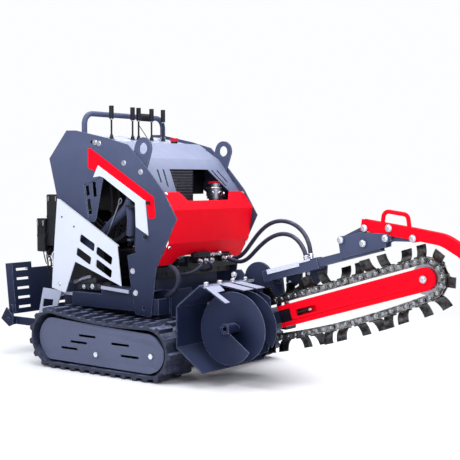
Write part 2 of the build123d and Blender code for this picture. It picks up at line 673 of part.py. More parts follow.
def trencher_frame():
    """Back plate, head housing with the shaft bore, mast to the support arm and the boom tongue."""
    hx, hz = HEAD_AXLE
    frame = block((492, 500), (-250, 250), (96, 420))
    housing = rod_y(hx, hz, 58, (-48, 24))
    housing += plate_xz([(500, 150), (hx, hz - 56), (hx + 30, hz), (hx, hz + 56), (500, 400)], (-48, -34))
    housing += plate_xz([(500, 180), (hx - 20, hz - 50), (hx - 20, hz + 50), (500, 380)], (10, 22))
    mast = plate_xz([(500, 392), (700, 340), (860, 430), (846, 530), (800, 540), (700, 480), (560, 440),
                     (500, 410)], (-48, -34))
    mast += rod_y(703, 508, 85, (-48, -34))
    frame += housing + mast
    frame += plate_xz([(500, 200), (500, 372), (660, 493), (803, 456), (862, 433), (873, 280), (850, 165),
                       (690, 100)],
                      (-174, -168), 12)
    frame += plate_xz([(566, 442), (582, 528), (602, 552), (630, 554), (652, 530), (652, 508)], (-100, -92))
    frame += rod_y(598, 525, 14, (-114, -92))
    frame -= rod_y(hx, hz, 42, (-180, -160))
    web = BOOM_FRAME * block((40, 92), (-78, -34), (-26, 26))
    tongue = block((88, 96), (-121, -34), (-30, 30))
    tongue += block((92, 215), (-121, -79), (-30, 30))
    frame += web + BOOM_FRAME * tongue
    frame -= rod_y(hx, hz, 25 + SHAFT_CLEARANCE, (-60, 40))
    return frame


def spoil_shield():
    """Folded trough behind the auger with a bolted top flange and three finger tabs."""
    sheet = folded_sheet(SHIELD_PROFILE, 6, SHIELD_Y)
    flange = block((646, 674), SHIELD_Y, (496, 502))
    shield = sheet + flange
    for low, high in ((-340, -256), (-228, -158)):
        shield += plate_xz([(666, 502), (820, 481), (819, 476), (664, 496)], (low, high))
    shield += plate_xz([(666, 502), (796, 430), (792, 425), (664, 496)], (-456, -418))
    end = plate_xz([(650, 498), (700, 470), (700, 120), (665, 83), (510, 190), (510, 386)], (52, 60))
    end -= rod_y(*HEAD_AXLE, 64, (40, 70))
    shield += end
    shield -= block((495, 720), (-50, 24), (140, 440))
    shield -= block((480, 720), (-50, -32), (380, 600))
    shield -= block((490, 520), (-176, -166), (100, 420))
    return shield - block((556, 656), (-102, -90), (425, 512))


def headshaft():
    """Head shaft with the chain sprocket, whose teeth stop short of the chain bushes."""
    x, z = HEAD_AXLE
    shaft = rod_y(x, z, 25, (-200, 24.5)) + rod_y(x, z, 13, (-330, -200))
    shaft += rod_y(x, z, 58, (BOOM_Y - 9, BOOM_Y + 9)) + rod_y(x, z, 40, (-122, -78))
    for index in range(12):
        angle = 2 * pi * index / 12
        tip = (x + 71 * cos(angle), z + 71 * sin(angle))
        root = (x + 50 * cos(angle), z + 50 * sin(angle))
        shaft += plate_xz(bar_corners(root, tip, 14), (BOOM_Y - 9, BOOM_Y + 9))
    return shaft


def auger():
    """Spoil auger: tube over the head shaft with two turns of helical flight."""
    x, z = HEAD_AXLE
    tube = rod_y(x, z, 24, (-413, -200.3)) - rod_y(x, z, 13 + SHAFT_CLEARANCE, (-420, -190))
    length = AUGER_Y[1] - AUGER_Y[0]
    spine = Helix(pitch=length / AUGER_TURNS, height=length, radius=100)
    start = Plane(origin=spine @ 0, x_dir=(1, 0, 0), z_dir=(0, -1, 0))
    section = start * Pos((AUGER_RADIUS + 22) / 2 - 100, 0)
    flight = sweep(section * Rectangle(AUGER_RADIUS - 22, 5), path=spine, is_frenet=True)
    placed = Pos(x, AUGER_Y[0], z) * Rot(-90, 0, 0) * Rot(0, 0, 35) * flight
    return tube + placed


def trencher_motor():
    """Hydraulic motor on the left of the head housing."""
    x, z = HEAD_AXLE
    motor = rod_y(x, z, 50, (24.5, 40))
    motor += block((x - 52, x + 52), (40, 130), (z - 52, z + 52))
    motor += rod_y(x, z, 42, (130, 176))
    motor += rod_z(x - 24, 90, 13, (z + 50, z + 84)) + rod_z(x + 24, 90, 13, (z + 50, z + 84))
    return motor


# ---------------------------------------------------------------- boom and chain
def boom():
    """Hollow boom over the tongue, notched at its root and forked at its nose."""
    y = (BOOM_Y - BOOM_HALF_WIDTH, BOOM_Y + BOOM_HALF_WIDTH)
    face = (y[0] - 6, y[0])
    shape = block((132, BOOM_LENGTH), y, (-BOOM_HALF_HEIGHT, BOOM_HALF_HEIGHT))
    shape += rod_y(BOOM_LENGTH, 0, BOOM_HALF_HEIGHT, y)
    shape += block((205, BOOM_LENGTH), face, (-26, 47)) + rod_y(BOOM_LENGTH, 0, 47, face)
    shape += block((205, BOOM_LENGTH - 90), (y[0] - 3, y[0]), (-BOOM_HALF_HEIGHT, -34))
    shape -= block((100, 252), (BOOM_Y - 22, BOOM_Y + 22), (-31, 31))
    shape -= block((360, 780), (BOOM_Y - 22, BOOM_Y + 22), (-44, 44))
    shape -= block((100, 205), (BOOM_Y - 60, BOOM_Y), (-31, 31))
    shape -= block((235, 356), (BOOM_Y - 60, BOOM_Y - 9), (-16, 16)) + rod_x(BOOM_Y - 19, 0, 7, (200, 240))
    shape -= block((BOOM_LENGTH - 90, BOOM_LENGTH + 100), (BOOM_Y - 17, BOOM_Y + 17), (-100, 100))
    shape += rod_y(BOOM_LENGTH, 0, 15, (y[0] - 4, y[1] + 4))
    shape += hexagon_y(BOOM_LENGTH, 0, 23, (y[0] - 14, y[0]))
    shape += hexagon_y(BOOM_LENGTH, 0, 23, (y[1], y[1] + 14))
    return BOOM_FRAME * shape


def nose_roller():
    y = (BOOM_Y - 12, BOOM_Y + 12)
    roller_shape = rod_y(BOOM_LENGTH, 0, CHAIN_RADIUS - BUSH_RADIUS - 1, y)
    roller_shape += rod_y(BOOM_LENGTH, 0, 34, (BOOM_Y - 16, BOOM_Y + 16))
    return BOOM_FRAME * (roller_shape - rod_y(BOOM_LENGTH, 0, 15 + SHAFT_CLEARANCE, (-200, 0)))


def chain_point(distance):
    """Point of the chain's pitch line in the boom's plane, at a distance along the loop."""
    arc = pi * CHAIN_RADIUS
    distance %= 2 * (arc + BOOM_LENGTH)
    if distance < BOOM_LENGTH:
        return distance, CHAIN_RADIUS
    distance -= BOOM_LENGTH
    if distance < arc:
        angle = pi / 2 - distance / CHAIN_RADIUS
        return BOOM_LENGTH + CHAIN_RADIUS * cos(angle), CHAIN_RADIUS * sin(angle)
    distance -= arc
    if distance < BOOM_LENGTH:
        share = distance / BOOM_LENGTH
        return BOOM_LENGTH - distance, -CHAIN_RADIUS - 4 * CHAIN_SAG * share * (1 - share)
    angle = -pi / 2 - (distance - BOOM_LENGTH) / CHAIN_RADIUS
    return CHAIN_RADIUS * cos(angle), CHAIN_RADIUS * sin(angle)


def walk_chain(pitch):
    """Pins spaced by a straight pitch round the loop, and the distance that they cover."""
    distance = 0.0
    pins = [chain_point(distance)]
    for _ in range(CHAIN_PINS):
        low, high = distance + 0.5 * pitch, distance + 1.5 * pitch
        for _ in range(40):
            middle = (low + high) / 2
            px, pz = chain_point(middle)
            if hypot(px - pins[-1][0], pz - pins[-1][1]) < pitch:
                low = middle
            else:
                high = middle
        distance = low
        pins.append(chain_point(distance))
    return pins, distance


def chain_pins():
    """Pins of the closed chain: the pitch is the one whose last pin falls on the first."""
    loop = 2 * (pi * CHAIN_RADIUS + BOOM_LENGTH)
    low, high = 0.9 * loop / CHAIN_PINS, 1.1 * loop / CHAIN_PINS
    for _ in range(40):
        pitch = (low + high) / 2
        pins, covered = walk_chain(pitch)
        if covered < loop:
            low = pitch
        else:
            high = pitch
    return pins[:CHAIN_PINS], pitch


def chain_link(pitch, offset, bar):
    """One link about its middle: two side plates, joined by bushes (inner) or pins (outer)."""
    half = pitch / 2
    link = tangent_hull((-half, 0), LINK_HALF_HEIGHT, (half, 0), LINK_HALF_HEIGHT - 0.01,
                        (offset, offset + 6))
    link += mirrored(link)
    for x in (-half, half):
        link += rod_y(x, 0, bar, (-offset - 6, offset + 6))
        if bar == BUSH_RADIUS:
            link -= rod_y(x, 0, PIN_RADIUS + SHAFT_CLEARANCE, (-40, 40))
    return link


def tooth(reach, rise, width):
    """Cup tooth on its foot: a curved blade that leans sideways by reach over its rise."""
    foot = block((-19, 19), (-27, 27), (LINK_HALF_HEIGHT + 0.3, LINK_HALF_HEIGHT + 6))
    side = 1 if reach > 0 else -1
    base = Vector(0, side * 16, LINK_HALF_HEIGHT + 4)
    middle = Vector(0, side * (16 + abs(reach) * 0.72), LINK_HALF_HEIGHT + 4 + rise * 0.45)
    tip = Vector(0, side * (16 + abs(reach)), LINK_HALF_HEIGHT + 4 + rise)
    blade_line = ThreePointArc(base, middle, tip)
    section = Plane(origin=base, x_dir=(1, 0, 0), z_dir=blade_line % 0) * Rectangle(width, 6)
    return foot + sweep(section, path=blade_line)


def digging_chain():
    """All links of the chain, and the teeth on its outer links."""
    pins, pitch = chain_pins()
    inner = chain_link(pitch, 13, BUSH_RADIUS)
    outer = chain_link(pitch, 19.5, PIN_RADIUS)
    styles = [tooth(-40, 52, 54), tooth(-24, 54, 48), tooth(38, 52, 52), tooth(22, 54, 46)]
    links, teeth = [], []
    for index in range(CHAIN_PINS):
        (ax, az), (bx, bz) = pins[index], pins[(index + 1) % CHAIN_PINS]
        place = Pos((ax + bx) / 2, BOOM_Y, (az + bz) / 2) * Rot(0, -degrees(atan2(bz - az, bx - ax)), 0)
        place = BOOM_FRAME * place
        if index % 2:
            links.append(place * inner)
        else:
            links.append(place * outer)
            teeth.append(place * styles[index // 2 % len(styles)])
    return group(*links), group(*teeth)


# ---------------------------------------------------------------- support arm and crumber
LINK_REAR = ((1235, 728), (1357, 787))
LINK_FRONT = ((1470, 744), (1605, 747))
CRUMBER_PLAY = 1.5
CRUMBER_PATH = [(1337, 802), (1600, 767), (1748, 744), (1856, 684), (1920, 596), (1920, 500)]


def support_arm():
    """Sleeve on the mast with its curved chain bracket and the hose bulkhead."""
    sleeve = block((-322, 4), (-127, -73), (-27, 27)) - block((-400, 50), (-121, -79), (-21, 21))
    sleeve = ARM_FRAME * sleeve
    foot = plate_xz([(800, 492), (846, 492), (868, 556), (800, 544)], (-62, -48.3))
    foot += block((806, 860), (-73, -62), (512, 540))
    guard = plate_xz([(978, 572), (1104, 604), (1101, 552), (1050, 500), (1009, 470), (978, 500)],
                     (-36, -28), 10)
    guard += ARM_FRAME * block((-120, -8), (-73, -28), (-20, -10))
    dark = plate_xz([(864, 500), (868, 556), (960, 572), (958, 522), (925, 484), (890, 474)], (-36, -28), 8)
    dark += ARM_FRAME * block((-236, -150), (-73, -28), (-20, -10))
    bulkhead = block((965, 1022), (-73, 14), (566, 584))
    for end, before in ((OUTER_HOSE[-1], OUTER_HOSE[-2]), (INNER_HOSE[-1], INNER_HOSE[-2])):
        along = (Vector(*end) - Vector(*before)).normalized()
        bulkhead += extrude(Plane(origin=Vector(*end) + along * 0.3, z_dir=along) * Circle(16), amount=34)
    return sleeve + foot + guard + dark + bulkhead


def support_tube():
    """Inner tube that telescopes in the sleeve, with the end plates that carry the crumber links."""
    bar = block((-120, 348), (-120.4, -79.6), (-20.4, 20.4))
    tube = ARM_FRAME * (bar - block((-130, 360), (-115, -85), (-15, 15)))
    points = [(1218, 734), (1226, 745), (1280, 751), (1330, 766), (1473, 763), (1494, 755), (1498, 735),
              (1470, 721),
              (1470, 703), (1234, 640)]
    plates = plate_xz(points, (-128.5, -120.5)) + plate_xz(points, (-79.5, -71.5))
    for x, z in (LINK_REAR[0], LINK_FRONT[0]):
        plates += rod_y(x, z, 8, (-128, -72)) + hexagon_y(x, z, 13, (-136, -128.5))
    plates += hexagon_y(1355, 716, 13, (-136, -128.5))
    return tube + plates


def crumber_link(ends, half_height, play):
    """Link bar between two pivots; the far hole is larger where the pivot is left open."""
    near, far = ends
    bar = tangent_hull(near, half_height, far, half_height + play - 0.01, (-108, -92))
    bar -= rod_y(*near, 8 + SHAFT_CLEARANCE, (-200, 0))
    return bar - rod_y(*far, 8 + SHAFT_CLEARANCE + play, (-200, 0))


def crumber_arm():
    """Red arm over the nose: forked at its rear for the links, with a D handle on top."""
    path = FilletPolyline(*[(x, BOOM_Y, z) for x, z in CRUMBER_PATH], radius=[60, 160, 160, 90])
    section = Plane(origin=path @ 0, x_dir=(0, 1, 0), z_dir=path % 0) * Rectangle(40, 54)
    arm = sweep(section, path=path)
    arm += plate_xz([(1570, 765), (1585, 735), (1600, 728), (1614, 729), (1660, 742), (1660, 760)],
                    (-120, -80))
    arm -= block((1300, 1420), (-109, -91), (700, 900)) + block((1440, 1660), (-109, -91), (700, 780))
    for x, z in (LINK_REAR[1], LINK_FRONT[1]):
        arm += rod_y(x, z, 8, (-120, -80)) + hexagon_y(x, z, 12, (-128, -120))
    arm += hexagon_y(1484, 790, 12, (-128, -120))
    handle = [(1438, -100, 800), (1446, -100, 868), (1566, -100, 852), (1576, -100, 790)]
    return arm + tube_along(handle, 10, 26)


def crumber_shoe():
    """Wear shoe bolted to the end of the crumber arm."""
    shoe = plate_xz([(1898, 499.7), (1946, 499.7), (1955, 446), (1934, 398), (1888, 372), (1882, 381),
                     (1920, 410), (1936, 450)],
                    (-155, -45))
    return shoe + block((1900, 1940), (-124, -76), (466, 499.7))


def attachment_bolts():
    """Zinc bolts of the shield flange, guard brackets and the boom's adjuster."""
    bolts = []
    for index in range(5):
        y = -430 + index * 108
        bolts.append(rod_z(660, y, 9, (502, 510)))
    bolts.append(hexagon_y(998, 552, 11, (-39.5, -36)))
    bolts.append(hexagon_y(890, 498, 11, (-39.5, -36)))
    adjuster = rod_x(BOOM_Y - 19, 0, 6, (215.3, 322)) + rod_x(BOOM_Y - 19, 0, 9.5, (306, 322))
    adjuster = BOOM_FRAME * adjuster
    return group(*bolts, adjuster)


# ---------------------------------------------------------------- hoses
def bend_radii(points):
    """Radius of each bend: 0.45 of the shorter run over the tangent of half the turn."""
    radii = []
    for a, b, c in zip(points, points[1:], points[2:]):
        first, second = Vector(*b) - Vector(*a), Vector(*c) - Vector(*b)
        turn = radians(first.get_angle(second))
        radii.append(0.45 * min(first.length, second.length) / tan(turn / 2))
    return radii


def hose(name, points):
    radii = bend_radii(points)
    path = FilletPolyline(*points, radius=radii)
    tube = sweep(Plane(path @ 0, z_dir=path % 0) * Circle(HOSE_RADIUS), path=path)
    share = tube.volume / (pi * HOSE_RADIUS ** 2 * path.length)
    print(f"{name}: length {path.length:.0f}, radii {min(radii):.0f} to {max(radii):.0f}")
    print(f"{name}: volume share {share:.4f}")
    return tube


# ---------------------------------------------------------------- write the nodes
def build_nodes():
    chain, teeth = digging_chain()
    nodes = {
        "lower_frame": lower_frame(),
        "track_frames": both_sides(track_frame()),
        "track_panels": both_sides(track_panel()),
        "track_belts": both_sides(track_belt()),
        "side_plates": both_sides(group(side_plate(), vent_bracket())),
        "red_trims": both_sides(red_trim()),
        "white_trims": both_sides(white_trim()),
        "guard_panels": both_sides(guard_panel()),
        "guard_brackets": both_sides(guard_bracket()),
        "hood": hood(),
        "front_cover": front_cover(),
        "lifting_eyes": both_sides(lifting_eye()),
        "grab_bar": grab_bar(),
        "control_deck": control_deck(),
        "control_valve": control_valve(),
        "engine": engine(),
        "air_cleaner": air_cleaner(),
        "hydraulic_tank": hydraulic_tank(),
        "filler_cap": filler_cap(),
        "oil_cooler": oil_cooler(),
        "cooling_fan": cooling_fan(),
        "oil_filter": oil_filter(),
        "coupler_block": coupler_block(),
        "chassis_hoses": chassis_hoses(),
        "chassis_bolts": chassis_bolts(),
        "platform": platform(),
        "hitch_frame": hitch_frame(),
        "tilt_cylinder": tilt_cylinder(),
        "tilt_rod": tilt_rod(),
        "trencher_frame": trencher_frame(),
        "spoil_shield": spoil_shield(),
        "headshaft": headshaft(),
        "auger": auger(),
        "trencher_motor": trencher_motor(),
        "boom": boom(),
        "nose_roller": nose_roller(),
        "digging_chain": chain,
        "chain_teeth": teeth,
        "support_arm": support_arm(),
        "support_tube": support_tube(),
        "crumber_link_rear": crumber_link(LINK_REAR, 15, 0),
        "crumber_link_front": crumber_link(LINK_FRONT, 15, CRUMBER_PLAY),
        "crumber_arm": crumber_arm(),
        "crumber_shoe": crumber_shoe(),
        "attachment_bolts": attachment_bolts(),
        "hose_outer": hose("hose_outer", OUTER_HOSE),
        "hose_inner": hose("hose_inner", INNER_HOSE),
    }
    for side, flip in (("right", lambda shape: shape), ("left", mirrored)):
        nodes[f"drive_sprocket_{side}"] = flip(drive_sprocket())
        nodes[f"idler_{side}"] = flip(idler())
        for number, x in enumerate(ROLLER_X, 1):
            nodes[f"roller_{number}_{side}"] = flip(roller(x))
    for number, y in enumerate(LEVER_Y, 1):
        nodes[f"control_lever_{number}"] = control_lever(y)
    return nodes


def main():
    os.makedirs("parts", exist_ok=True)
    nodes = {name: Pos(-MID_LENGTH_X, 0, 0) * shape for name, shape in build_nodes().items()}
    whole = Compound([solid for shape in nodes.values() for solid in shape.solids()]).bounding_box()
    print(f"{len(nodes)} nodes, box {whole.min} to {whole.max}")
    for name, shape in nodes.items():
        export_step(shape, f"parts/{name}.step")


main()
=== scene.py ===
"""Looks of the tracked stand-on trencher: materials, hoses and small fittings over the CAD frame.

The frame is in metres: +X forward, +Y the machine's left, +Z up, ground at Z = 0. Places are given
in the drawing's millimetres, and at() turns them into the frame's metres.
"""
import json
from math import cos, pi, radians, sin

import bmesh
import bpy
from mathutils import Matrix, Vector


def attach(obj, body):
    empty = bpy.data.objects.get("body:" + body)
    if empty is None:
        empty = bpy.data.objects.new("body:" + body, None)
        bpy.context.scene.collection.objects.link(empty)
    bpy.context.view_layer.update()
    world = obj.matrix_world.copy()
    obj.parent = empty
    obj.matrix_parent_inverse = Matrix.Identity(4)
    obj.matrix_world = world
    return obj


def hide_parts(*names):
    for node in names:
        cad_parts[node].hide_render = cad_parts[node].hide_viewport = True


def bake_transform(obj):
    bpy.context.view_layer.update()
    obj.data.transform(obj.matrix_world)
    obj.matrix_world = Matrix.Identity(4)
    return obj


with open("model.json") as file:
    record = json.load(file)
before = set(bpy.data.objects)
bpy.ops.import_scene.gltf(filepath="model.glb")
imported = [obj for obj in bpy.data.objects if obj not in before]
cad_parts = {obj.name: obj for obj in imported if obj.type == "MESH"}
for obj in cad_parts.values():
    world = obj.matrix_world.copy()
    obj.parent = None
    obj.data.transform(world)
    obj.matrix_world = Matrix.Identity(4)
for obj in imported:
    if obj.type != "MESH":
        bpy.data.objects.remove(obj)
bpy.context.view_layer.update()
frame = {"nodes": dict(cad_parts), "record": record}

SHIFT = Vector((-0.534, 0, 0))  # the drawing's X = 0 stands this far from the frame's origin


def at(x, y, z):
    """A point of the drawing, given in millimetres, in the frame."""
    return Vector((x, y, z)) / 1000 + SHIFT


def link(obj):
    bpy.context.scene.collection.objects.link(obj)
    return obj


# ------------------------------------------------------------------ camera, lights, floor
CAMERA_PLACE = (3.662, -4.2697, 1.0118)
CAMERA_AIM = (-0.59591, 0.80151, -0.049645)
LENS, SENSOR_WIDTH = 79.4, 36
SKY_COLOR, SKY_STRENGTH = (0.86, 0.90, 1.0, 1), 0.42
BACKDROP_WHITE = (0.98, 0.985, 1.0)
FLOOR_SIZE, DOME_RADIUS = 48, 30
FLOOR_FADE = (1.5, 3.2)  # distances from the middle between which the floor turns into backdrop
AREA_LIGHTS = {  # place, target, size and power
    "overhead": ((0.3, 0.2, 3.4), (0.1, 0, 0.4), (4.6, 3.4), 150),
    "side_high": ((-0.9, -2.7, 2.7), (-0.5, -0.3, 1.05), (2.2, 1.0), 62),
    "front_right": ((3.3, -2.6, 2.3), (0.3, 0, 0.65), (2.2, 1.6), 58),
    "rear_fill": ((-3.2, 2.4, 2.4), (-0.3, 0, 0.6), (2.4, 1.8), 45),
}


def look(obj, target):
    obj.rotation_euler = (target - obj.location).to_track_quat("-Z", "Y").to_euler()


def camera():
    data = bpy.data.cameras.new("camera")
    data.lens = LENS
    data.sensor_width = SENSOR_WIDTH
    data.clip_end = 60
    cam = link(bpy.data.objects.new("camera", data))
    cam.location = Vector(CAMERA_PLACE) + SHIFT
    look(cam, cam.location + Vector(CAMERA_AIM))
    bpy.context.scene.camera = cam


def area_light(name, place, target, size, power):
    data = bpy.data.lights.new(name, "AREA")
    data.shape = "RECTANGLE"
    data.size, data.size_y = size
    data.energy = power
    light = link(bpy.data.objects.new(name, data))
    light.location = place
    look(light, Vector(target))


def studio():
    """Soft boxes overhead and beside the machine, a dim sky, and a floor that fades into white."""
    for name, settings in AREA_LIGHTS.items():
        area_light(name, *settings)
    world = bpy.data.worlds.new("world")
    world.use_nodes = True
    background = world.node_tree.nodes["Background"]
    background.inputs[0].default_value = SKY_COLOR
    background.inputs[1].default_value = SKY_STRENGTH
    bpy.context.scene.world = world
    bpy.context.scene.view_settings.view_transform = "Standard"
    floor()
    backdrop()


def floor():
    half = FLOOR_SIZE / 2
    mesh = bpy.data.meshes.new("floor")
    corners = [(-half, -half, 0), (half, -half, 0), (half, half, 0), (-half, half, 0)]
    mesh.from_pydata(corners, [], [(0, 1, 2, 3)])
    mesh.materials.append(floor_paint())
    return link(bpy.data.objects.new("floor", mesh))


def backdrop():
    """White dome round the whole scene that only the camera sees."""
    mesh = bpy.data.meshes.new("backdrop")
    bm = bmesh.new()
    bmesh.ops.create_icosphere(bm, subdivisions=4, radius=DOME_RADIUS)
    bm.to_mesh(mesh)
    bm.free()
    g = Graph("backdrop_white")
    g.end_in(g.add("Emission", {"Color": BACKDROP_WHITE, "Strength": 1.0}).outputs[0])
    mesh.materials.append(g.material)
    dome = link(bpy.data.objects.new("backdrop", mesh))
    for flag in ("visible_diffuse", "visible_glossy", "visible_transmission", "visible_shadow"):
        setattr(dome, flag, False)
    return dome


def floor_paint():
    """Pale matt floor whose far part glows as white as the backdrop."""
    g = Graph("floor_paint")
    distance = g.add("VectorMath", {0: g.place()}, operation="LENGTH").outputs["Value"]
    cloud = g.mix(g.ramp(g.noise(3, 3), 0.3, 0.7), (0.88, 0.89, 0.92), (0.92, 0.93, 0.95))
    g.feed(g.bsdf.inputs["Base Color"], cloud)
    g.feed(g.bsdf.inputs["Roughness"], g.ramp(g.noise(40, 4), 0.3, 0.7, 0.6, 0.75))
    g.bsdf.inputs["Specular IOR Level"].default_value = 0.1
    white = g.add("Emission", {"Color": BACKDROP_WHITE, "Strength": 1.0}).outputs[0]
    blend = g.add("MixShader", {0: g.ramp(distance, *FLOOR_FADE)})
    g.feed(blend.inputs[1], g.bsdf.outputs[0])
    g.feed(blend.inputs[2], white)
    g.end_in(blend.outputs[0])
    return g.material


# ------------------------------------------------------------------ materials
class Graph:
    """Small wrapper that adds and links shader nodes."""

    def __init__(self, name):
        self.material = bpy.data.materials.new(name)
        self.material.use_nodes = True
        self.tree = self.material.node_tree
        self.bsdf = self.tree.nodes["Principled BSDF"]

    def add(self, kind, inputs=None, **settings):
        node = self.tree.nodes.new(f"ShaderNode{kind}")
        for key, value in settings.items():
            setattr(node, key, value)
        for key, value in (inputs or {}).items():
            self.feed(node.inputs[key], value)
        return node

    def feed(self, socket, value):
        if isinstance(value, bpy.types.NodeSocket):
            self.tree.links.new(value, socket)
        elif hasattr(value, "__len__") and len(value) == 3 and socket.type == "RGBA":
            socket.default_value = (*value, 1)
        else:
            socket.default_value = value

    def end_in(self, shader):
        self.feed(self.tree.nodes["Material Output"].inputs[0], shader)

    def place(self):
        return self.add("TexCoord").outputs["Object"]

    def normal(self):
        return self.add("NewGeometry").outputs["Normal"]

    def split(self, vector):
        return self.add("SeparateXYZ", {0: vector}).outputs

    def noise(self, scale, detail=4, roughness=0.55, stretch=None):
        vector = self.place()
        if stretch:
            vector = self.add("Mapping", {"Vector": vector, "Scale": stretch}).outputs[0]
        inputs = {"Vector": vector, "Scale": scale, "Detail": detail, "Roughness": roughness}
        return self.add("TexNoise", inputs).outputs[0]

    def ramp(self, value, low, high, to_low=0.0, to_high=1.0):
        inputs = {"Value": value, "From Min": low, "From Max": high, "To Min": to_low, "To Max": to_high}
        return self.add("MapRange", inputs).outputs[0]

    def mix(self, share, a, b):
        node = self.add("Mix", data_type="RGBA", blend_type="MIX")
        for index, value in ((0, share), (6, a), (7, b)):
            self.feed(node.inputs[index], value)
        return node.outputs[2]

    def math(self, operation, a, b):
        return self.add("Math", {0: a, 1: b}, operation=operation).outputs[0]

    def rounded(self, radius):
        """Normal that is softened near edges."""
        return self.add("Bevel", {"Radius": radius}, samples=6).outputs[0]

    def edge_turn(self, rounded):
        """Cosine between the softened and the true normal, which drops below 1 along an edge."""
        inputs = {0: rounded, 1: self.normal()}
        return self.add("VectorMath", inputs, operation="DOT_PRODUCT").outputs["Value"]

    def bump(self, height, distance, strength=1.0, normal=None):
        inputs = {"Height": height, "Distance": distance, "Strength": strength}
        if normal is not None:
            inputs["Normal"] = normal
        return self.add("Bump", inputs).outputs[0]


def scaled(color, factor):
    return tuple(c * factor for c in color)


DUST = (0.22, 0.22, 0.25)
PAINTED_SHADE_TINT = (0.07, 0.11, 0.22)  # share of red, green and blue left where the painted shade is full
FRONT_OF_ARM = (0.28, 0.5)  # X in metres over which the painted shade weakens, from the mast to the support arm


def surface(name, color, roughness, tone=0.1, specular=0.5, bevel=0.0, edge=None, painted_shade=None,
            painted_top_highlight=0.0, grain=900, bump=0.00002, dirt=0.0):
    """Paint, plastic or cast skin with cloudy tone, fine grain, soft edges lightened partly by wear and
    partly as a painted highlight, and dusty patches.

    The painted shade gives the heights between which the colour deepens downwards, standing in for shade low
    on the machine, and by how much. Like rubber and steel, it returns the name and the material.
    """
    g = Graph(name)
    fine = g.noise(grain, 3)
    light = tuple(min(1, c) for c in scaled(color, 1 + tone))
    base = g.mix(g.ramp(g.noise(7, 5), 0.3, 0.7), scaled(color, 1 - tone), light)
    base = g.mix(g.ramp(fine, 0.35, 0.65, 0, 0.5), base, scaled(color, 1 - 0.8 * tone))
    # Painted shade: the colour darkens towards the bottom, standing in for shade low on the machine.
    if painted_shade:
        low, high, depth = painted_shade
        x, _, z = g.split(g.place())
        share = g.math("MULTIPLY", g.ramp(z, low, high, depth, 0.0), g.ramp(x, *FRONT_OF_ARM, 1, 0.4))
        base = g.mix(share, base, tuple(c * tint for c, tint in zip(color, PAINTED_SHADE_TINT)))
    # Painted highlight: upward faces are lightened towards twice the colour, standing in for light from
    # above.
    if painted_top_highlight:
        upward = g.split(g.normal())["Z"]
        base = g.mix(g.ramp(upward, 0.55, 0.95, 0.0, painted_top_highlight), base, scaled(color, 2))
    normal = g.rounded(bevel) if bevel else None
    # Edges lighten towards the edge colour, partly wear and partly a painted highlight where light catches
    # them.
    if edge:
        edge_highlight_and_wear = g.ramp(g.noise(60, 4), 0.38, 0.62, 0.35, 1.0)
        base = g.mix(g.math("MULTIPLY", g.ramp(g.edge_turn(normal), 0.985, 0.9), edge_highlight_and_wear), base, edge)
    rough = g.ramp(g.noise(21, 4), 0.3, 0.7, roughness - 0.05, roughness + 0.07)
    if dirt:
        dusty = g.math("MULTIPLY", g.ramp(g.noise(14, 6, 0.65), 0.45, 0.75), dirt)
        base = g.mix(dusty, base, DUST)
        rough = g.math("MAXIMUM", rough, g.math("MULTIPLY", dusty, 0.9))
    g.feed(g.bsdf.inputs["Base Color"], base)
    g.feed(g.bsdf.inputs["Roughness"], rough)
    g.bsdf.inputs["Specular IOR Level"].default_value = specular
    g.feed(g.bsdf.inputs["Normal"], g.bump(fine, bump, normal=normal))
    return name, g.material


def rubber(name, color, scuff_and_highlight, scuff_and_highlight_share):
    """Black rubber with pale scuffs, a fine pebbled skin and upper faces that are paler, partly dusty and
    partly a painted highlight.
    """
    g = Graph(name)
    pebbles = g.add("TexVoronoi", {"Vector": g.place(), "Scale": 500}).outputs[0]
    scuffs = g.math("MULTIPLY", g.ramp(g.noise(38, 6, 0.7), 0.5, 0.72), scuff_and_highlight_share)
    base = g.mix(g.ramp(g.noise(9, 4), 0.3, 0.7), color, scaled(color, 1.7))
    base = g.mix(scuffs, base, scuff_and_highlight)
    # Upward faces pale towards a lighter scuff colour: partly dusty, partly a painted highlight of light
    # from above.
    upward = g.ramp(g.split(g.normal())["Z"], 0.35, 0.95, 0, scuff_and_highlight_share * 1.6)
    dust_and_highlight = g.math("MULTIPLY", upward, g.ramp(g.noise(24, 5, 0.6), 0.35, 0.6))
    g.feed(g.bsdf.inputs["Base Color"], g.mix(dust_and_highlight, base, scaled(scuff_and_highlight, 2.4)))
    g.feed(g.bsdf.inputs["Roughness"], g.ramp(g.noise(50, 4), 0.3, 0.7, 0.48, 0.72))
    g.feed(g.bsdf.inputs["Normal"], g.bump(pebbles, 0.0002, 0.6, g.rounded(0.002)))
    return name, g.material


def steel(name, color, roughness, oil=0.0, drawn=1, edge=None, patches=30):
    """Bare or plated steel with fine lines, drawn out along Z, oily patches and bright edges."""
    g = Graph(name)
    lines = g.noise(160, 3, stretch=(1, 1, drawn))
    base = g.mix(g.ramp(lines, 0.3, 0.7, 0, 0.6), color, scaled(color, 0.72))
    if oil:
        patch = g.math("MULTIPLY", g.ramp(g.noise(patches, 5, 0.65), 0.42, 0.58), oil)
        base = g.mix(patch, base, (0.012, 0.012, 0.011))
    rounded = g.rounded(0.0008)
    if edge:
        base = g.mix(g.ramp(g.edge_turn(rounded), 0.985, 0.88), base, edge)
    g.feed(g.bsdf.inputs["Base Color"], base)
    g.bsdf.inputs["Metallic"].default_value = 1.0
    g.feed(g.bsdf.inputs["Roughness"], g.ramp(g.noise(45, 4), 0.3, 0.7, roughness - 0.06, roughness + 0.1))
    g.feed(g.bsdf.inputs["Normal"], g.bump(lines, 0.00003, 0.6, rounded))
    return name, g.material
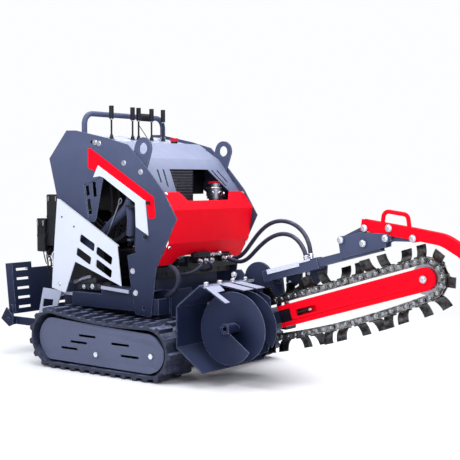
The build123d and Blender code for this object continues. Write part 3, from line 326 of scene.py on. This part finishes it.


# Edge colours lighten the edges, partly as wear and partly as a painted highlight.
MATERIALS = dict([
    # The slate and hood paints carry painted shade that darkens them towards the bottom; the slate paint
    # also has a painted highlight on its upward faces.
    surface("slate_paint", (0.072, 0.087, 0.160), 0.46, tone=0.12, specular=0.15, bevel=0.0018,
            edge=(0.42, 0.47, 0.62), painted_shade=(0.32, 1.2, 0.92), painted_top_highlight=0.3),
    surface("hood_paint", (0.23, 0.26, 0.39), 0.42, tone=0.06, specular=0.35, bevel=0.0014,
            edge=(0.42, 0.46, 0.6), painted_shade=(0.93, 1.12, 0.65)),
    surface("panel_paint", (0.085, 0.10, 0.175), 0.44, tone=0.08, specular=0.35, bevel=0.0014,
            edge=(0.30, 0.34, 0.48)),
    surface("red_paint", (0.86, 0.0012, 0.014), 0.5, tone=0.05, specular=0.06, bevel=0.0012,
            edge=(0.95, 0.03, 0.06)),
    surface("white_paint", (0.60, 0.64, 0.76), 0.46, tone=0.03, specular=0.25, bevel=0.001,
            edge=(0.8, 0.84, 0.95)),
    surface("grey_paint", (0.36, 0.39, 0.52), 0.46, tone=0.05, specular=0.3, bevel=0.001,
            edge=(0.6, 0.64, 0.76)),
    surface("black_paint", (0.0045, 0.005, 0.010), 0.42, tone=0.3, specular=0.3, bevel=0.0012,
            edge=(0.07, 0.08, 0.12), dirt=0.04),
    rubber("track_rubber", (0.009, 0.012, 0.030), (0.10, 0.12, 0.20), 0.35),
    rubber("hose_rubber", (0.010, 0.013, 0.032), (0.08, 0.09, 0.15), 0.25),
    surface("cast_metal", (0.016, 0.018, 0.028), 0.5, tone=0.25, bevel=0.0015,
            edge=(0.13, 0.14, 0.18), grain=500, bump=0.00015),
    steel("bare_steel", (0.42, 0.44, 0.52), 0.3, drawn=12),
    steel("zinc", (0.74, 0.76, 0.84), 0.26),
    steel("chromed_rod", (0.85, 0.86, 0.9), 0.08),
    surface("black_plastic", (0.006, 0.0065, 0.010), 0.5, tone=0.25, specular=0.35, bevel=0.002,
            grain=1500, bump=0.00005),
    surface("red_plastic", (0.60, 0.006, 0.02), 0.34, tone=0.08, specular=0.3, bevel=0.001),
    steel("chain_steel", (0.36, 0.36, 0.35), 0.32, oil=0.85, edge=(0.78, 0.78, 0.76), patches=55),
    steel("tooth_steel", (0.075, 0.075, 0.078), 0.34, oil=0.9, edge=(0.42, 0.43, 0.44), patches=26),
])


def paint_cad():
    """Each CAD node takes the material of its slot in the record."""
    for part in frame["record"]["subparts"]:
        node = frame["nodes"][part["node"]]
        node.data.materials.clear()
        node.data.materials.append(MATERIALS[part["material_slot"]])


# ------------------------------------------------------------------ mesh helpers
def make(name, verts, faces, material, body, smooth):
    """One piece; without a body, it is left without a parent."""
    mesh = bpy.data.meshes.new(name)
    mesh.from_pydata(verts, [], faces)
    mesh.validate()
    if smooth:
        mesh.shade_smooth()
    mesh.materials.append(MATERIALS[material])
    obj = link(bpy.data.objects.new(name, mesh))
    if body:
        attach(obj, body)
    return obj


def ring(centre, across, up, radius, sides):
    turns = [2 * pi * k / sides for k in range(sides)]
    return [centre + (across * cos(turn) + up * sin(turn)) * radius for turn in turns]


def rings_to_mesh(rings):
    """Vertices and faces of a skin over closed rings of equal size, with both ends capped."""
    sides = len(rings[0])
    verts = [point for one in rings for point in one]
    faces = []
    for row in range(len(rings) - 1):
        for k in range(sides):
            a, b = row * sides + k, row * sides + (k + 1) % sides
            faces.append((a, b, b + sides, a + sides))
    faces.append(tuple(reversed(range(sides))))
    faces.append(tuple(range((len(rings) - 1) * sides, len(rings) * sides)))
    return verts, faces


def tube_mesh(points, radius, sides):
    """Skin round a path; the rings' directions are carried along it without twist."""
    last = len(points) - 1
    across = (points[1] - points[0]).normalized().orthogonal().normalized()
    rings = []
    for k, point in enumerate(points):
        along = (points[min(k + 1, last)] - points[max(k - 1, 0)]).normalized()
        across = (across - along * across.dot(along)).normalized()
        rings.append(ring(point, across, along.cross(across), radius, sides))
    return rings_to_mesh(rings)


def turned_mesh(origin, axis, profile, sides):
    """Turned shape: profile lists (distance along the axis, radius) in millimetres."""
    axis = Vector(axis).normalized()
    across = axis.orthogonal().normalized()
    up = axis.cross(across)
    rings = [ring(origin + axis * along / 1000, across, up, r / 1000, sides) for along, r in profile]
    return rings_to_mesh(rings)


def spline_points(route):
    """Points read from the NURBS spline that has the route as its control points."""
    curve = bpy.data.curves.new("route", "CURVE")
    curve.dimensions = "3D"
    curve.resolution_u = 10
    spline = curve.splines.new("NURBS")
    spline.points.add(len(route) - 1)
    for point, place in zip(spline.points, route):
        point.co = (*place, 1)
    spline.order_u = 3
    spline.use_endpoint_u = True
    obj = link(bpy.data.objects.new("route", curve))
    bpy.context.view_layer.update()
    mesh = bpy.data.meshes.new_from_object(obj)
    points = [v.co.copy() for v in mesh.vertices]
    bpy.data.objects.remove(obj)
    return points


class Kit:
    """Collects simple shapes, given in drawing millimetres, into one piece of one material."""

    def __init__(self, name, material, body="chassis"):
        self.name, self.material, self.body = name, material, body
        self.verts, self.faces = [], []

    def add(self, verts, faces):
        start = len(self.verts)
        self.verts += verts
        self.faces += [tuple(start + k for k in face) for face in faces]

    def tube(self, points, radius, sides=12):
        """Pipe that is smooth through more than two points and straight between two."""
        path = [at(*p) for p in points]
        if len(path) > 2:
            path = spline_points(path)
        self.add(*tube_mesh(path, radius / 1000, sides))

    def turned(self, origin, axis, profile, sides=24):
        self.add(*turned_mesh(at(*origin), axis, profile, sides))

    def slab(self, low, high, round_by=2.0, turn=0.0, about=(0, 0, 0)):
        """Box with rounded edges between two corners, turned by degrees about Y round a point."""
        low, high, about = Vector(low), Vector(high), Vector(about)
        size = Matrix.Diagonal((*(high - low), 1))
        bm = bmesh.new()
        bmesh.ops.create_cube(bm, size=1, matrix=Matrix.Translation((low + high) / 2) @ size)
        bmesh.ops.bevel(bm, geom=bm.edges[:], offset=round_by, segments=2, affect="EDGES", profile=0.5)
        spin = Matrix.Rotation(radians(turn), 4, "Y")
        spin = Matrix.Translation(about) @ spin @ Matrix.Translation(-about)
        bm.verts.index_update()
        self.add([at(*(spin @ v.co)) for v in bm.verts], [[v.index for v in f.verts] for f in bm.faces])
        bm.free()

    def sheet(self, corners, thickness):
        """Flat plate below its outline of corners."""
        lower = [at(x, y, z - thickness) for x, y, z in corners]
        self.add(*rings_to_mesh([lower, [at(*corner) for corner in corners]]))

    def hexagon(self, origin, axis, across, height):
        """Hexagonal head with a chamfered top on a washer."""
        washer, flats, chamfer = across * 0.85, across * 0.57, across * 0.46
        self.turned(origin, axis, [(0, washer), (1.4, washer), (1.4, 1)], 20)
        head = [(1.4, flats), (height - 1.2, flats), (height, chamfer), (height, 1)]
        self.turned(origin, axis, head, 6)

    def done(self, smooth=False):
        return make(self.name, self.verts, self.faces, self.material, self.body, smooth)


def finish(*kits):
    for kit in kits:
        kit.done()


# ------------------------------------------------------------------ hoses to the attachment
HOSE_DIAMETER = 0.022
OUTER_HOSE = [
    (352, 170, 585), (396, 170, 585), (440, 160, 597), (488, 146, 631), (540, 128, 681),
    (600, 110, 736), (668, 90, 779), (744, 72, 801), (818, 55, 798), (884, 38, 777),
    (936, 22, 742), (972, 6, 698), (990, -6, 652), (996, -10, 615),
]
INNER_HOSE = [
    (352, 120, 585), (396, 120, 585), (440, 114, 573), (484, 105, 573), (526, 96, 587),
    (564, 86, 612), (606, 74, 645), (654, 60, 679), (704, 46, 708), (758, 32, 729),
    (814, 18, 738), (868, 4, 732), (914, -10, 712), (952, -24, 682), (980, -36, 645),
    (994, -44, 606),
]
FERRULE = [
    (-2, 13), (0, 14.5), (6, 14.5), (7, 13.2), (11, 13.2), (12, 14.5), (17, 14.5),
    (18, 13.2), (22, 13.2), (23, 14.5), (28, 14.5), (31, 12.2), (31, 11.3),
]


def hose(node, route):
    """Rubber hose with a crimped ferrule at each end, one on the chassis and one on the hitch."""
    points = spline_points([at(*p) for p in route])
    verts, faces = tube_mesh(points, HOSE_DIAMETER / 2, 24)
    piece = make(f"{node}_rubber", verts, faces, "hose_rubber", None, True)
    mouths = ((points[0], points[4], "chassis"), (points[-1], points[-5], "hitch"))
    for index, (mouth, inward, body) in enumerate(mouths):
        verts, faces = turned_mesh(mouth, inward - mouth, FERRULE, 28)
        make(f"{node}_ferrule_{index}", verts, faces, "zinc", body, False)
    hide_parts(node)
    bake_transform(piece)


# ------------------------------------------------------------------ engine and its bay
ENGINE_MIDDLE = Vector((-400, 0, 700))
BANK_TURN = 35  # degrees between each cylinder bank and upright
BLOWER_X, BLOWER_Z = -560, 560
VALVE_PORTS_Y = (-232, -180, -120, -60, 40, 100, 160)
PIPE_NUT = [(0, 15), (10, 15), (11, 12), (22, 12), (22, 9)]


def cast_engine():
    """Cooling fins and rocker covers of both cylinder banks, and the muffler's bands."""
    fins = Kit("engine_fins", "cast_metal")
    covers = Kit("rocker_covers", "black_paint")
    bolts = Kit("engine_bolts", "zinc")
    for turn in (-BANK_TURN, BANK_TURN):
        for k in range(7):
            level = 715 + 11 * k
            fins.slab((-486, -162, level), (-314, 162, level + 3.5), 1.2, turn, ENGINE_MIDDLE)
        covers.slab((-466, -140, 806), (-334, 140, 826), 7, turn, ENGINE_MIDDLE)
        spin = Matrix.Rotation(radians(turn), 3, "Y")
        for x in (-454, -346):
            for y in (-126, 0, 126):
                seat = ENGINE_MIDDLE + spin @ (Vector((x, y, 826)) - ENGINE_MIDDLE)
                bolts.hexagon(seat, spin @ Vector((0, 0, 1)), 12, 6)
    muffler = Kit("muffler_bands", "bare_steel")
    for y in (30, 82, 134, 186, 230):
        muffler.turned((-590, y, 640), (0, 1, 0), [(0, 55.5), (2, 58), (6, 58), (8, 55.5)], 36)
    finish(fins, covers, bolts, blower_housing(), muffler, spark_leads())


def blower_housing():
    """Round housing of the cooling blower with swept grille bars."""
    housing = Kit("blower_housing", "black_plastic")
    shell = [(0, 168), (30, 166), (44, 150), (46, 120), (40, 118), (40, 40), (52, 36), (54, 1)]
    housing.turned((BLOWER_X, 0, BLOWER_Z), (-1, 0, 0), shell, 48)
    for k in range(24):
        inner = 2 * pi * k / 24
        outer = inner + 0.35
        start = (BLOWER_X - 46, 42 * cos(inner), BLOWER_Z + 42 * sin(inner))
        end = (BLOWER_X - 44, 116 * cos(outer), BLOWER_Z + 116 * sin(outer))
        housing.tube([start, end], 3, 6)
    return housing


def spark_leads():
    leads = Kit("spark_leads", "hose_rubber")
    leads.tube([(-505, -60, 800), (-530, -90, 770), (-540, -120, 700), (-520, -180, 620)], 4)
    leads.tube([(-300, -60, 800), (-270, -100, 790), (-250, -150, 720), (-300, -190, 610)], 4)
    return leads


def engine_bay():
    """Pipes, dipstick and small hardware seen through the side windows and below the hood."""
    pipes = Kit("bay_pipes", "black_paint")
    nuts = Kit("bay_fittings", "zinc")
    for index, y in enumerate(VALVE_PORTS_Y):
        foot = (-180, y * 0.9, 640 + 30 * (index % 3))
        bend = (-140 + 12 * index, y * 0.95, 900)
        pipes.tube([(-150, y, 1082), (-148, y, 1000), bend, (-150, y * 0.9, 780), foot], 9)
        nuts.turned((-150, y, 1082), (0, 0, -1), [(0, 15), (12, 15), (13, 12), (24, 12), (24, 9)], 6)
    pipes.tube([(-200, -262, 700), (-110, -270, 680), (-20, -276, 700), (40, -286, 750)], 14)
    clamp = [(0, 17), (8, 17), (8, 15), (20, 15), (20, 17), (28, 17), (28, 12)]
    nuts.turned((60, -282, 748), (0.2, 0, 1), clamp, 20)
    nuts.turned((-70, -272, 800), (0.8, 0, 0.6), [(0, 19), (9, 19), (9, 16.5), (10, 1)], 20)
    thick = Kit("suction_hoses", "slate_paint")
    thick.tube([(-160, -268, 730), (-90, -276, 790), (10, -284, 850), (62, -292, 930), (66, -270, 1010)], 22)
    thick.tube([(52, -300, 900), (66, -304, 840), (70, -304, 780), (60, -300, 720)], 24)
    straps = Kit("bay_brackets", "slate_paint")
    straps.slab((-300, -330, 640), (-180, -322, 700), 2)
    straps.slab((60, -330, 690), (84, -250, 700), 2)
    finish(pipes, thick, nuts, dipstick(), straps, cooling_shroud())


def dipstick():
    """Dipstick with a pull ring."""
    rod = Kit("dipstick", "bare_steel")
    x, y, z = -20, -308, 880
    rod.tube([(-120, -300, 700), (-60, -305, 800), (x, y, z)], 3, 8)
    loop = ((0, 0), (2, 25), (18, 35), (26, 20), (14, 4), (0, 0))
    rod.tube([(x + dx, y, z + dz) for dx, dz in loop], 2.5, 8)
    return rod


def cooling_shroud():
    """Ribbed sheet that stands along the engine and closes the bay behind the window."""
    shroud = Kit("cooling_shroud", "black_plastic")
    shroud.slab((-560, -100, 838), (-255, -95, 1010), 2)
    shroud.slab((-262, -100, 760), (-125, -95, 1010), 2)
    for k in range(7):
        shroud.slab((-540 + 58 * k, -104, 850), (-534 + 58 * k, -99, 990), 1.5)
    return shroud


def cooler_core():
    """Louvred fins between the cooler's tubes."""
    fins = Kit("cooler_fins", "bare_steel")
    for k in range(12):
        level = 899.5 + 15.6 * k
        fins.slab((166, -240, level), (174, 80, level + 2.5), 0.8, 12, (170, 0, level))
        for m in range(40):
            y = -236 + 8 * m
            fins.slab((168.3, y, level - 9), (169.3, y + 1.2, level - 1.8), 0.2)
    fins.done()


def air_cleaner_bands():
    """Lids, bands, clips and the drain boot of the air cleaner's two housings."""
    bands = Kit("cleaner_lids", "black_plastic")
    bands.slab((-659, -303, 766), (-589, -181, 793), 7)
    bands.slab((-658, -302, 690), (-590, -182, 699), 2)
    bands.slab((-657, -301, 604), (-591, -183, 622), 6)
    bands.slab((-595, -288, 902), (-497, -197, 929), 8)
    bands.slab((-594, -287, 800), (-498, -198, 808), 2)
    drain_boot = [(0, 17), (10, 17), (30, 11), (38, 13), (40, 9), (40, 1)]
    bands.turned((-625, -240, 606), (0, 0, -1), drain_boot, 24)
    for k in range(5):
        bands.slab((-650 + 12 * k, -302, 706), (-646 + 12 * k, -298, 760), 1)
    clips = Kit("cleaner_clips", "bare_steel")
    for x in (-648, -602):
        clips.slab((x - 5, -306, 752), (x + 5, -300, 782), 1.5)
        clips.tube([(x - 5, -307, 776), (x, -309, 784), (x + 5, -307, 776)], 1.6, 8)
    for x in (-575, -515):
        clips.slab((x - 5, -291, 892), (x + 5, -285, 918), 1.5)
    finish(bands, clips)


def underside():
    """Sump, exhaust and drain fittings seen between the guard bracket and the chassis."""
    sump = Kit("oil_sump", "cast_metal")
    sump.slab((-322, -318, 408), (-150, -214, 452), 16)
    sump.slab((-300, -322, 446), (-178, -232, 486), 14)
    filter_end = [(0, 26), (22, 26), (28, 20), (40, 20), (42, 14), (42, 1)]
    sump.turned((-150, -268, 432), (1, 0, 0), filter_end, 24)
    for k in range(6):
        sump.slab((-312 + 26 * k, -324, 414), (-306 + 26 * k, -314, 446), 1.5)
    pipe = Kit("exhaust_pipe", "bare_steel")
    pipe.tube([(-330, -326, 452), (-290, -330, 462), (-250, -330, 480), (-205, -324, 486)], 11)
    plugs = Kit("sump_plugs", "zinc")
    plugs.hexagon((-200, -323, 434), (0, -1, 0), 16, 9)
    plugs.hexagon((-264, -323, 430), (0, -1, 0), 14, 8)
    cables = Kit("bay_cables", "black_plastic")
    cables.tube([(-430, -330, 640), (-420, -336, 560), (-440, -336, 500), (-470, -320, 470)], 3.5)
    cables.tube([(-560, -250, 780), (-600, -300, 700), (-590, -320, 600), (-560, -320, 540)], 3)
    finish(sump, pipe, plugs, cables)


def engine_loom():
    """Wiring loom with bright connectors below the air cleaner."""
    loom = Kit("engine_loom", "black_plastic")
    wires = Kit("engine_wires", "bare_steel")
    for k in range(5):
        x, y = -575 + 17 * k, -300 + 9 * (k % 3)
        sway = 9 * (k % 2) - 14
        loom.tube([(x, y + 60, 640), (x + sway, y, 600), (x + 12, y - 4, 550),
                   (x - 6, y + 8, 500), (x + 10, y + 40, 455)], 4.5, 10)
        connector = (x - 2, y, 588 - 22 * (k % 3))
        wires.turned(connector, (0.2, 0, -1), [(0, 5), (1, 7), (14, 7), (15, 5)], 14)
    wires.tube([(-590, -296, 610), (-570, -306, 576), (-544, -304, 590),
                (-520, -306, 548), (-500, -300, 520)], 2.4, 8)
    finish(loom, wires)


# ------------------------------------------------------------------ controls and front of the carrier
LEVER_X, LEVERS_Y = -150, (-220, -50, 0, 110, 210)
BAR_X, BAR_Z = -250, 1370
FILTER_X, FILTER_Y = 205, 240
PLATE_FACE_Y = -378


def controls():
    """Boots and collars of the levers, the spring round the grab bar and its stay cable."""
    folds = [(0, 17), (3, 17)]
    for k in range(4):
        folds += [(5 + 6 * k, 15 - 2 * k), (8 + 6 * k, 11.5 - 1.4 * k)]
    for index, y in enumerate(LEVERS_Y, 1):
        lever = f"control_lever_{index}"
        boot = Kit(f"lever_boot_{index}", "black_plastic", None)
        boot.turned((LEVER_X, y, 1228), (0, 0, 1), folds + [(31, 6), (31, 5.2)], 24)
        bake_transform(boot.done())
        collar = Kit(f"lever_collar_{index}", "zinc", lever)
        collar.turned((LEVER_X, y, 1336), (0, 0, 1), [(0, 7), (1, 9), (5, 9), (6, 7)], 16)
        collar.done()
    coil = Kit("bar_spring", "black_paint")
    turns, steps, radius = 11, 18, 19
    helix = []
    for k in range(turns * steps + 1):
        angle = 2 * pi * k / steps
        y = 121 + 88 * k / (turns * steps)
        helix.append(at(BAR_X + radius * cos(angle), y, BAR_Z + radius * sin(angle)))
    coil.add(*tube_mesh(helix, 0.0032, 6))
    coil.tube([(-168, 22, 1318), (-165, 50, 1286), (-163, 100, 1236)], 2.2, 8)
    coil.done()


def filter_head():
    """Knurled red cap, clamping ring and three hose ports of the oil filter head."""
    cap = Kit("filter_cap", "red_plastic")
    cap.turned((FILTER_X, FILTER_Y, 990), (0, 0, 1), [(0, 37), (2, 39), (9, 39), (12, 34), (13, 1)], 36)
    for k in range(18):
        x = FILTER_X + 39 * cos(2 * pi * k / 18)
        y = FILTER_Y + 39 * sin(2 * pi * k / 18)
        cap.slab((x - 2, y - 2, 992), (x + 2, y + 2, 999), 0.8)
    ports = Kit("filter_ports", "zinc")
    ports.turned((FILTER_X, FILTER_Y, 962), (0, 0, 1), [(0, 48), (3, 49), (7, 48), (8, 40)], 40)
    wells = Kit("filter_wells", "black_plastic")
    for turn in (-75, -15, 45):
        out = Vector((cos(radians(turn)), sin(radians(turn)), 0))
        start = Vector((FILTER_X, FILTER_Y, 934)) + out * 42
        ports.turned(start, out, [(0, 15), (10, 15), (12, 13), (12, 9), (8, 9), (8, 1)], 24)
        wells.turned(start + out * 8, out, [(0, 8.5), (1, 8.5), (1.4, 1)], 20)
    finish(cap, ports, wells)


def coupler_corner():
    """Fittings, relief cartridge and loops of hose under the front cover, with a sheet behind."""
    fittings = Kit("coupler_fittings", "zinc")
    coupler = [(0, 13), (2, 15), (9, 15), (10, 11), (20, 11), (22, 8), (22, 1)]
    for y in (-110, -60, -10):
        fittings.turned((366, y, 585), (1, 0, 0), coupler, 6)
    stem = [(0, 9), (24, 9), (24, 14), (32, 14), (32, 8), (70, 8), (70, 13), (80, 13), (84, 8), (84, 1)]
    fittings.turned((338, 10, 612), (0, 1, 0), stem, 20)
    fittings.turned((338, 102, 612), (0, 1, 0), [(-8, 1), (-7, 12), (0, 16), (7, 12), (8, 1)], 20)
    drum = Kit("relief_cartridge", "black_paint")
    cartridge = [(0, 10), (3, 16), (20, 16), (20, 20), (128, 20), (131, 16), (138, 10), (138, 1)]
    drum.turned((338, -128, 612), (0, 1, 0), cartridge, 30)
    drum.turned((300, -212, 588), (0, 1, 0), [(0, 12), (2, 17), (46, 17), (50, 12), (50, 1)], 24)
    loops = Kit("coupler_loops", "hose_rubber")
    loops.tube([(300, -270, 566), (340, -270, 552), (364, -270, 510), (352, -270, 462),
                (318, -270, 430), (275, -270, 404)], 13)
    loops.tube([(366, -110, 585), (396, -118, 580), (404, -150, 556), (372, -190, 524), (320, -200, 520)], 8)
    loops.tube([(366, -60, 585), (402, -58, 578), (404, -40, 548), (352, -30, 528), (310, -30, 530)], 8)
    loops.tube([(262, -230, 588), (230, -262, 560), (214, -276, 500), (214, -276, 440)], 8)
    sheet = Kit("splash_sheet", "black_plastic")
    sheet.slab((196, -330, 500), (201, 330, 588), 1.5)
    sheet.slab((236, -330, 500), (241, 330, 560), 1.5)
    for k in range(9):
        sheet.slab((241, -300 + 75 * k, 506), (244, -292 + 75 * k, 530), 1)
    finish(fittings, drum, loops, sheet)


def side_plugs():
    """Black plugs of the right side plate and the small dark bolts of its guard panel."""
    plugs = Kit("side_plugs", "black_plastic")
    for x, z in ((243, 893), (223, 719)):
        plugs.turned((x, PLATE_FACE_Y, z), (0, 1, 0), [(-3, 1), (-3, 8), (-1, 10.5), (10, 10.5)], 24)
    for x, z in ((-376, 808), (-284, 758)):
        plugs.turned((x, PLATE_FACE_Y, z), (0, 1, 0), [(-1, 1), (-1, 4), (0, 5), (6, 5)], 16)
    plugs.done()


# ------------------------------------------------------------------ attachment
HEAD_AXLE_X, HEAD_AXLE_Z = 763, 296
BOOM_TURN = 16.72  # degrees that the boom rises forward
BOOM_LENGTH, CHAIN_RADIUS, CHAIN_SAG, CHAIN_PINS = 942, 84, 26, 58
CHAIN_FACES = ((-125.5, -1), (-74.5, 1))  # Y of each outer face and the way that it looks
SHIELD_ROOT_X, SHIELD_TOP = 668, 502.4
FLANGE_BOLT_Y, FLANGE_BOLT_STEP = -430, 108


def along_boom(x, z=0.0):
    """Drawing X and Z of a point that lies x along the boom from the head axle and z above."""
    lean = radians(BOOM_TURN)
    return HEAD_AXLE_X + x * cos(lean) - z * sin(lean), HEAD_AXLE_Z + x * sin(lean) + z * cos(lean)


def chain_point(distance):
    """Drawing X and Z of the chain's pitch line, at a distance along the loop."""
    arc = pi * CHAIN_RADIUS
    if distance < BOOM_LENGTH:
        return along_boom(distance, CHAIN_RADIUS)
    distance -= BOOM_LENGTH
    if distance < arc:
        angle = pi / 2 - distance / CHAIN_RADIUS
        return along_boom(BOOM_LENGTH + CHAIN_RADIUS * cos(angle), CHAIN_RADIUS * sin(angle))
    distance -= arc
    if distance < BOOM_LENGTH:
        share = distance / BOOM_LENGTH
        return along_boom(BOOM_LENGTH * (1 - share), -CHAIN_RADIUS - 4 * CHAIN_SAG * share * (1 - share))
    angle = -pi / 2 - (distance - BOOM_LENGTH) / CHAIN_RADIUS
    return along_boom(CHAIN_RADIUS * cos(angle), CHAIN_RADIUS * sin(angle))


def chain_rivets():
    """Peened pin heads with worn rims on both faces of the chain, one pair for each of its pins."""
    rivets = Kit("chain_rivets", "bare_steel", "hitch")
    loop = 2 * (pi * CHAIN_RADIUS + BOOM_LENGTH)
    head = [(0, 8.5), (1.2, 8.5), (1.6, 6.8), (3.2, 6.2), (4, 4.5), (4, 1)]
    for k in range(CHAIN_PINS):
        x, z = chain_point(loop * k / CHAIN_PINS)
        for y, side in CHAIN_FACES:
            rivets.turned((x, y, z), (0, side, 0), head, 14)
    rivets.done()


def bright_hardware():
    """Zinc caps over the attachment's bolt heads, and pale strips on the arm sleeve's upper edge and top
    that are a painted highlight.
    """
    for body, places in {
        "crumber": [(1357, -128, 787), (1484, -128, 790), (1605, -128, 747)],
        "support_tube": [(1235, -136, 728), (1470, -136, 744), (1355, -136, 716)],
        "boom": [(1665.2, -144, 567.0)],
        "hitch": [(598, -114, 525)],
    }.items():
        caps = Kit(f"{body}_caps", "zinc", body)
        for place in places:
            caps.turned(place, (0, -1, 0), [(0, 17), (2, 17), (2, 12.5), (3, 12.5)], 28)
            caps.turned(place, (0, -1, 0), [(2, 13), (8, 13), (10, 10), (10, 1)], 6)
        caps.done()
    # Painted highlight: white strips along the sleeve's upper edge and top stand in for light falling there.
    strip = Kit("sleeve_highlight_strip", "white_paint", "hitch")
    arm_turn, arm_pivot = -15, (1100, 0, 612)
    strip.slab((808, -132, 617), (1002, -130, 640), 0.6, arm_turn, arm_pivot)
    strip.slab((1000, -131.4, 631), (1069, -130, 640), 0.4, arm_turn, arm_pivot)
    strip.slab((808, -132, 639.2), (1002, -72, 640.6), 0.6, arm_turn, arm_pivot)
    strip.done()


def shield_trim():
    """Pale sheets on the spoil shield's fingers and flange strip, a painted highlight of their lit upper
    faces, and the shield's bolts.
    """
    # Painted highlight: pale grey sheets on the fingers and the flange stand in for light on their upper
    # faces.
    highlight_sheets = Kit("finger_highlight_sheets", "grey_paint", "hitch")
    for slope, outline in (
        (-0.553, [(668, -456), (798, -456), (798, -419), (722, -419), (716, -352), (668, -336)]),
        (-0.138, [(668, -340), (820, -340), (820, -256), (668, -256)]),
        (-0.138, [(668, -228), (820, -228), (820, -158), (668, -158)]),
    ):
        highlight_sheets.sheet([(x, y, SHIELD_TOP + slope * (x - SHIELD_ROOT_X)) for x, y in outline], 3)
    highlight_sheets.slab((672, -460, 489), (677, 60, 504), 1)
    caps = Kit("flange_caps", "zinc", "hitch")
    cap = [(0, 16), (3, 16), (3, 12), (15, 12), (17, 9), (17, 1)]
    for k in range(5):
        caps.turned((664, FLANGE_BOLT_Y + FLANGE_BOLT_STEP * k, 502), (0, 0, 1), cap, 18)
    finish(highlight_sheets, caps)


def boom_root():
    """Dark sleeve over the end of the boom tongue and the ribbed boot of the chain adjuster."""
    sleeve = Kit("tongue_sleeve", "black_paint", "hitch")
    sleeve.slab((893, -125, 265), (980, -119.5, 327), 2, -BOOM_TURN, (HEAD_AXLE_X, 0, HEAD_AXLE_Z))
    boot = Kit("adjuster_boot", "black_plastic", "hitch")
    forward = (cos(radians(BOOM_TURN)), 0, sin(radians(BOOM_TURN)))
    for k in range(8):
        x, z = along_boom(238 + 10 * k)
        boot.turned((x, -119, z), forward, [(0, 7.5), (3, 9.5), (7, 9.5), (10, 7.5)], 20)
    finish(sleeve, boot)


def finish_attachment():
    """Pipes and fittings of the trencher motor and the bolt heads round it and on the hitch plate."""
    pipes = Kit("motor_pipes", "hose_rubber", "hitch")
    pipes.tube([(985, 0, 568), (975, 12, 530), (930, 40, 490), (850, 80, 450),
                (800, 92, 430), (787, 90, 384)], 9)
    pipes.tube([(1000, -30, 568), (985, 0, 510), (920, 40, 450), (830, 88, 410),
                (760, 96, 410), (739, 90, 384)], 9)
    pipes.done(True)
    nuts = Kit("motor_fittings", "zinc", "hitch")
    for x in (739, 787):
        nuts.turned((x, 90, 376), (0, 0, 1), PIPE_NUT, 6)
    for y in (-210, -130, 130, 210):
        for z in (130, 385):
            nuts.hexagon((500, y, z), (1, 0, 0), 20, 12)
    for x in (722, 804):
        for z in (255, 337):
            nuts.hexagon((x, 130, z), (0, 1, 0), 16, 9)
    nuts.done()


# ------------------------------------------------------------------ build
camera()
studio()
paint_cad()
hose("hose_outer", OUTER_HOSE)
hose("hose_inner", INNER_HOSE)
cast_engine()
engine_bay()
cooler_core()
air_cleaner_bands()
underside()
engine_loom()
controls()
filter_head()
coupler_corner()
side_plugs()
chain_rivets()
bright_hardware()
shield_trim()
boom_root()
finish_attachment()
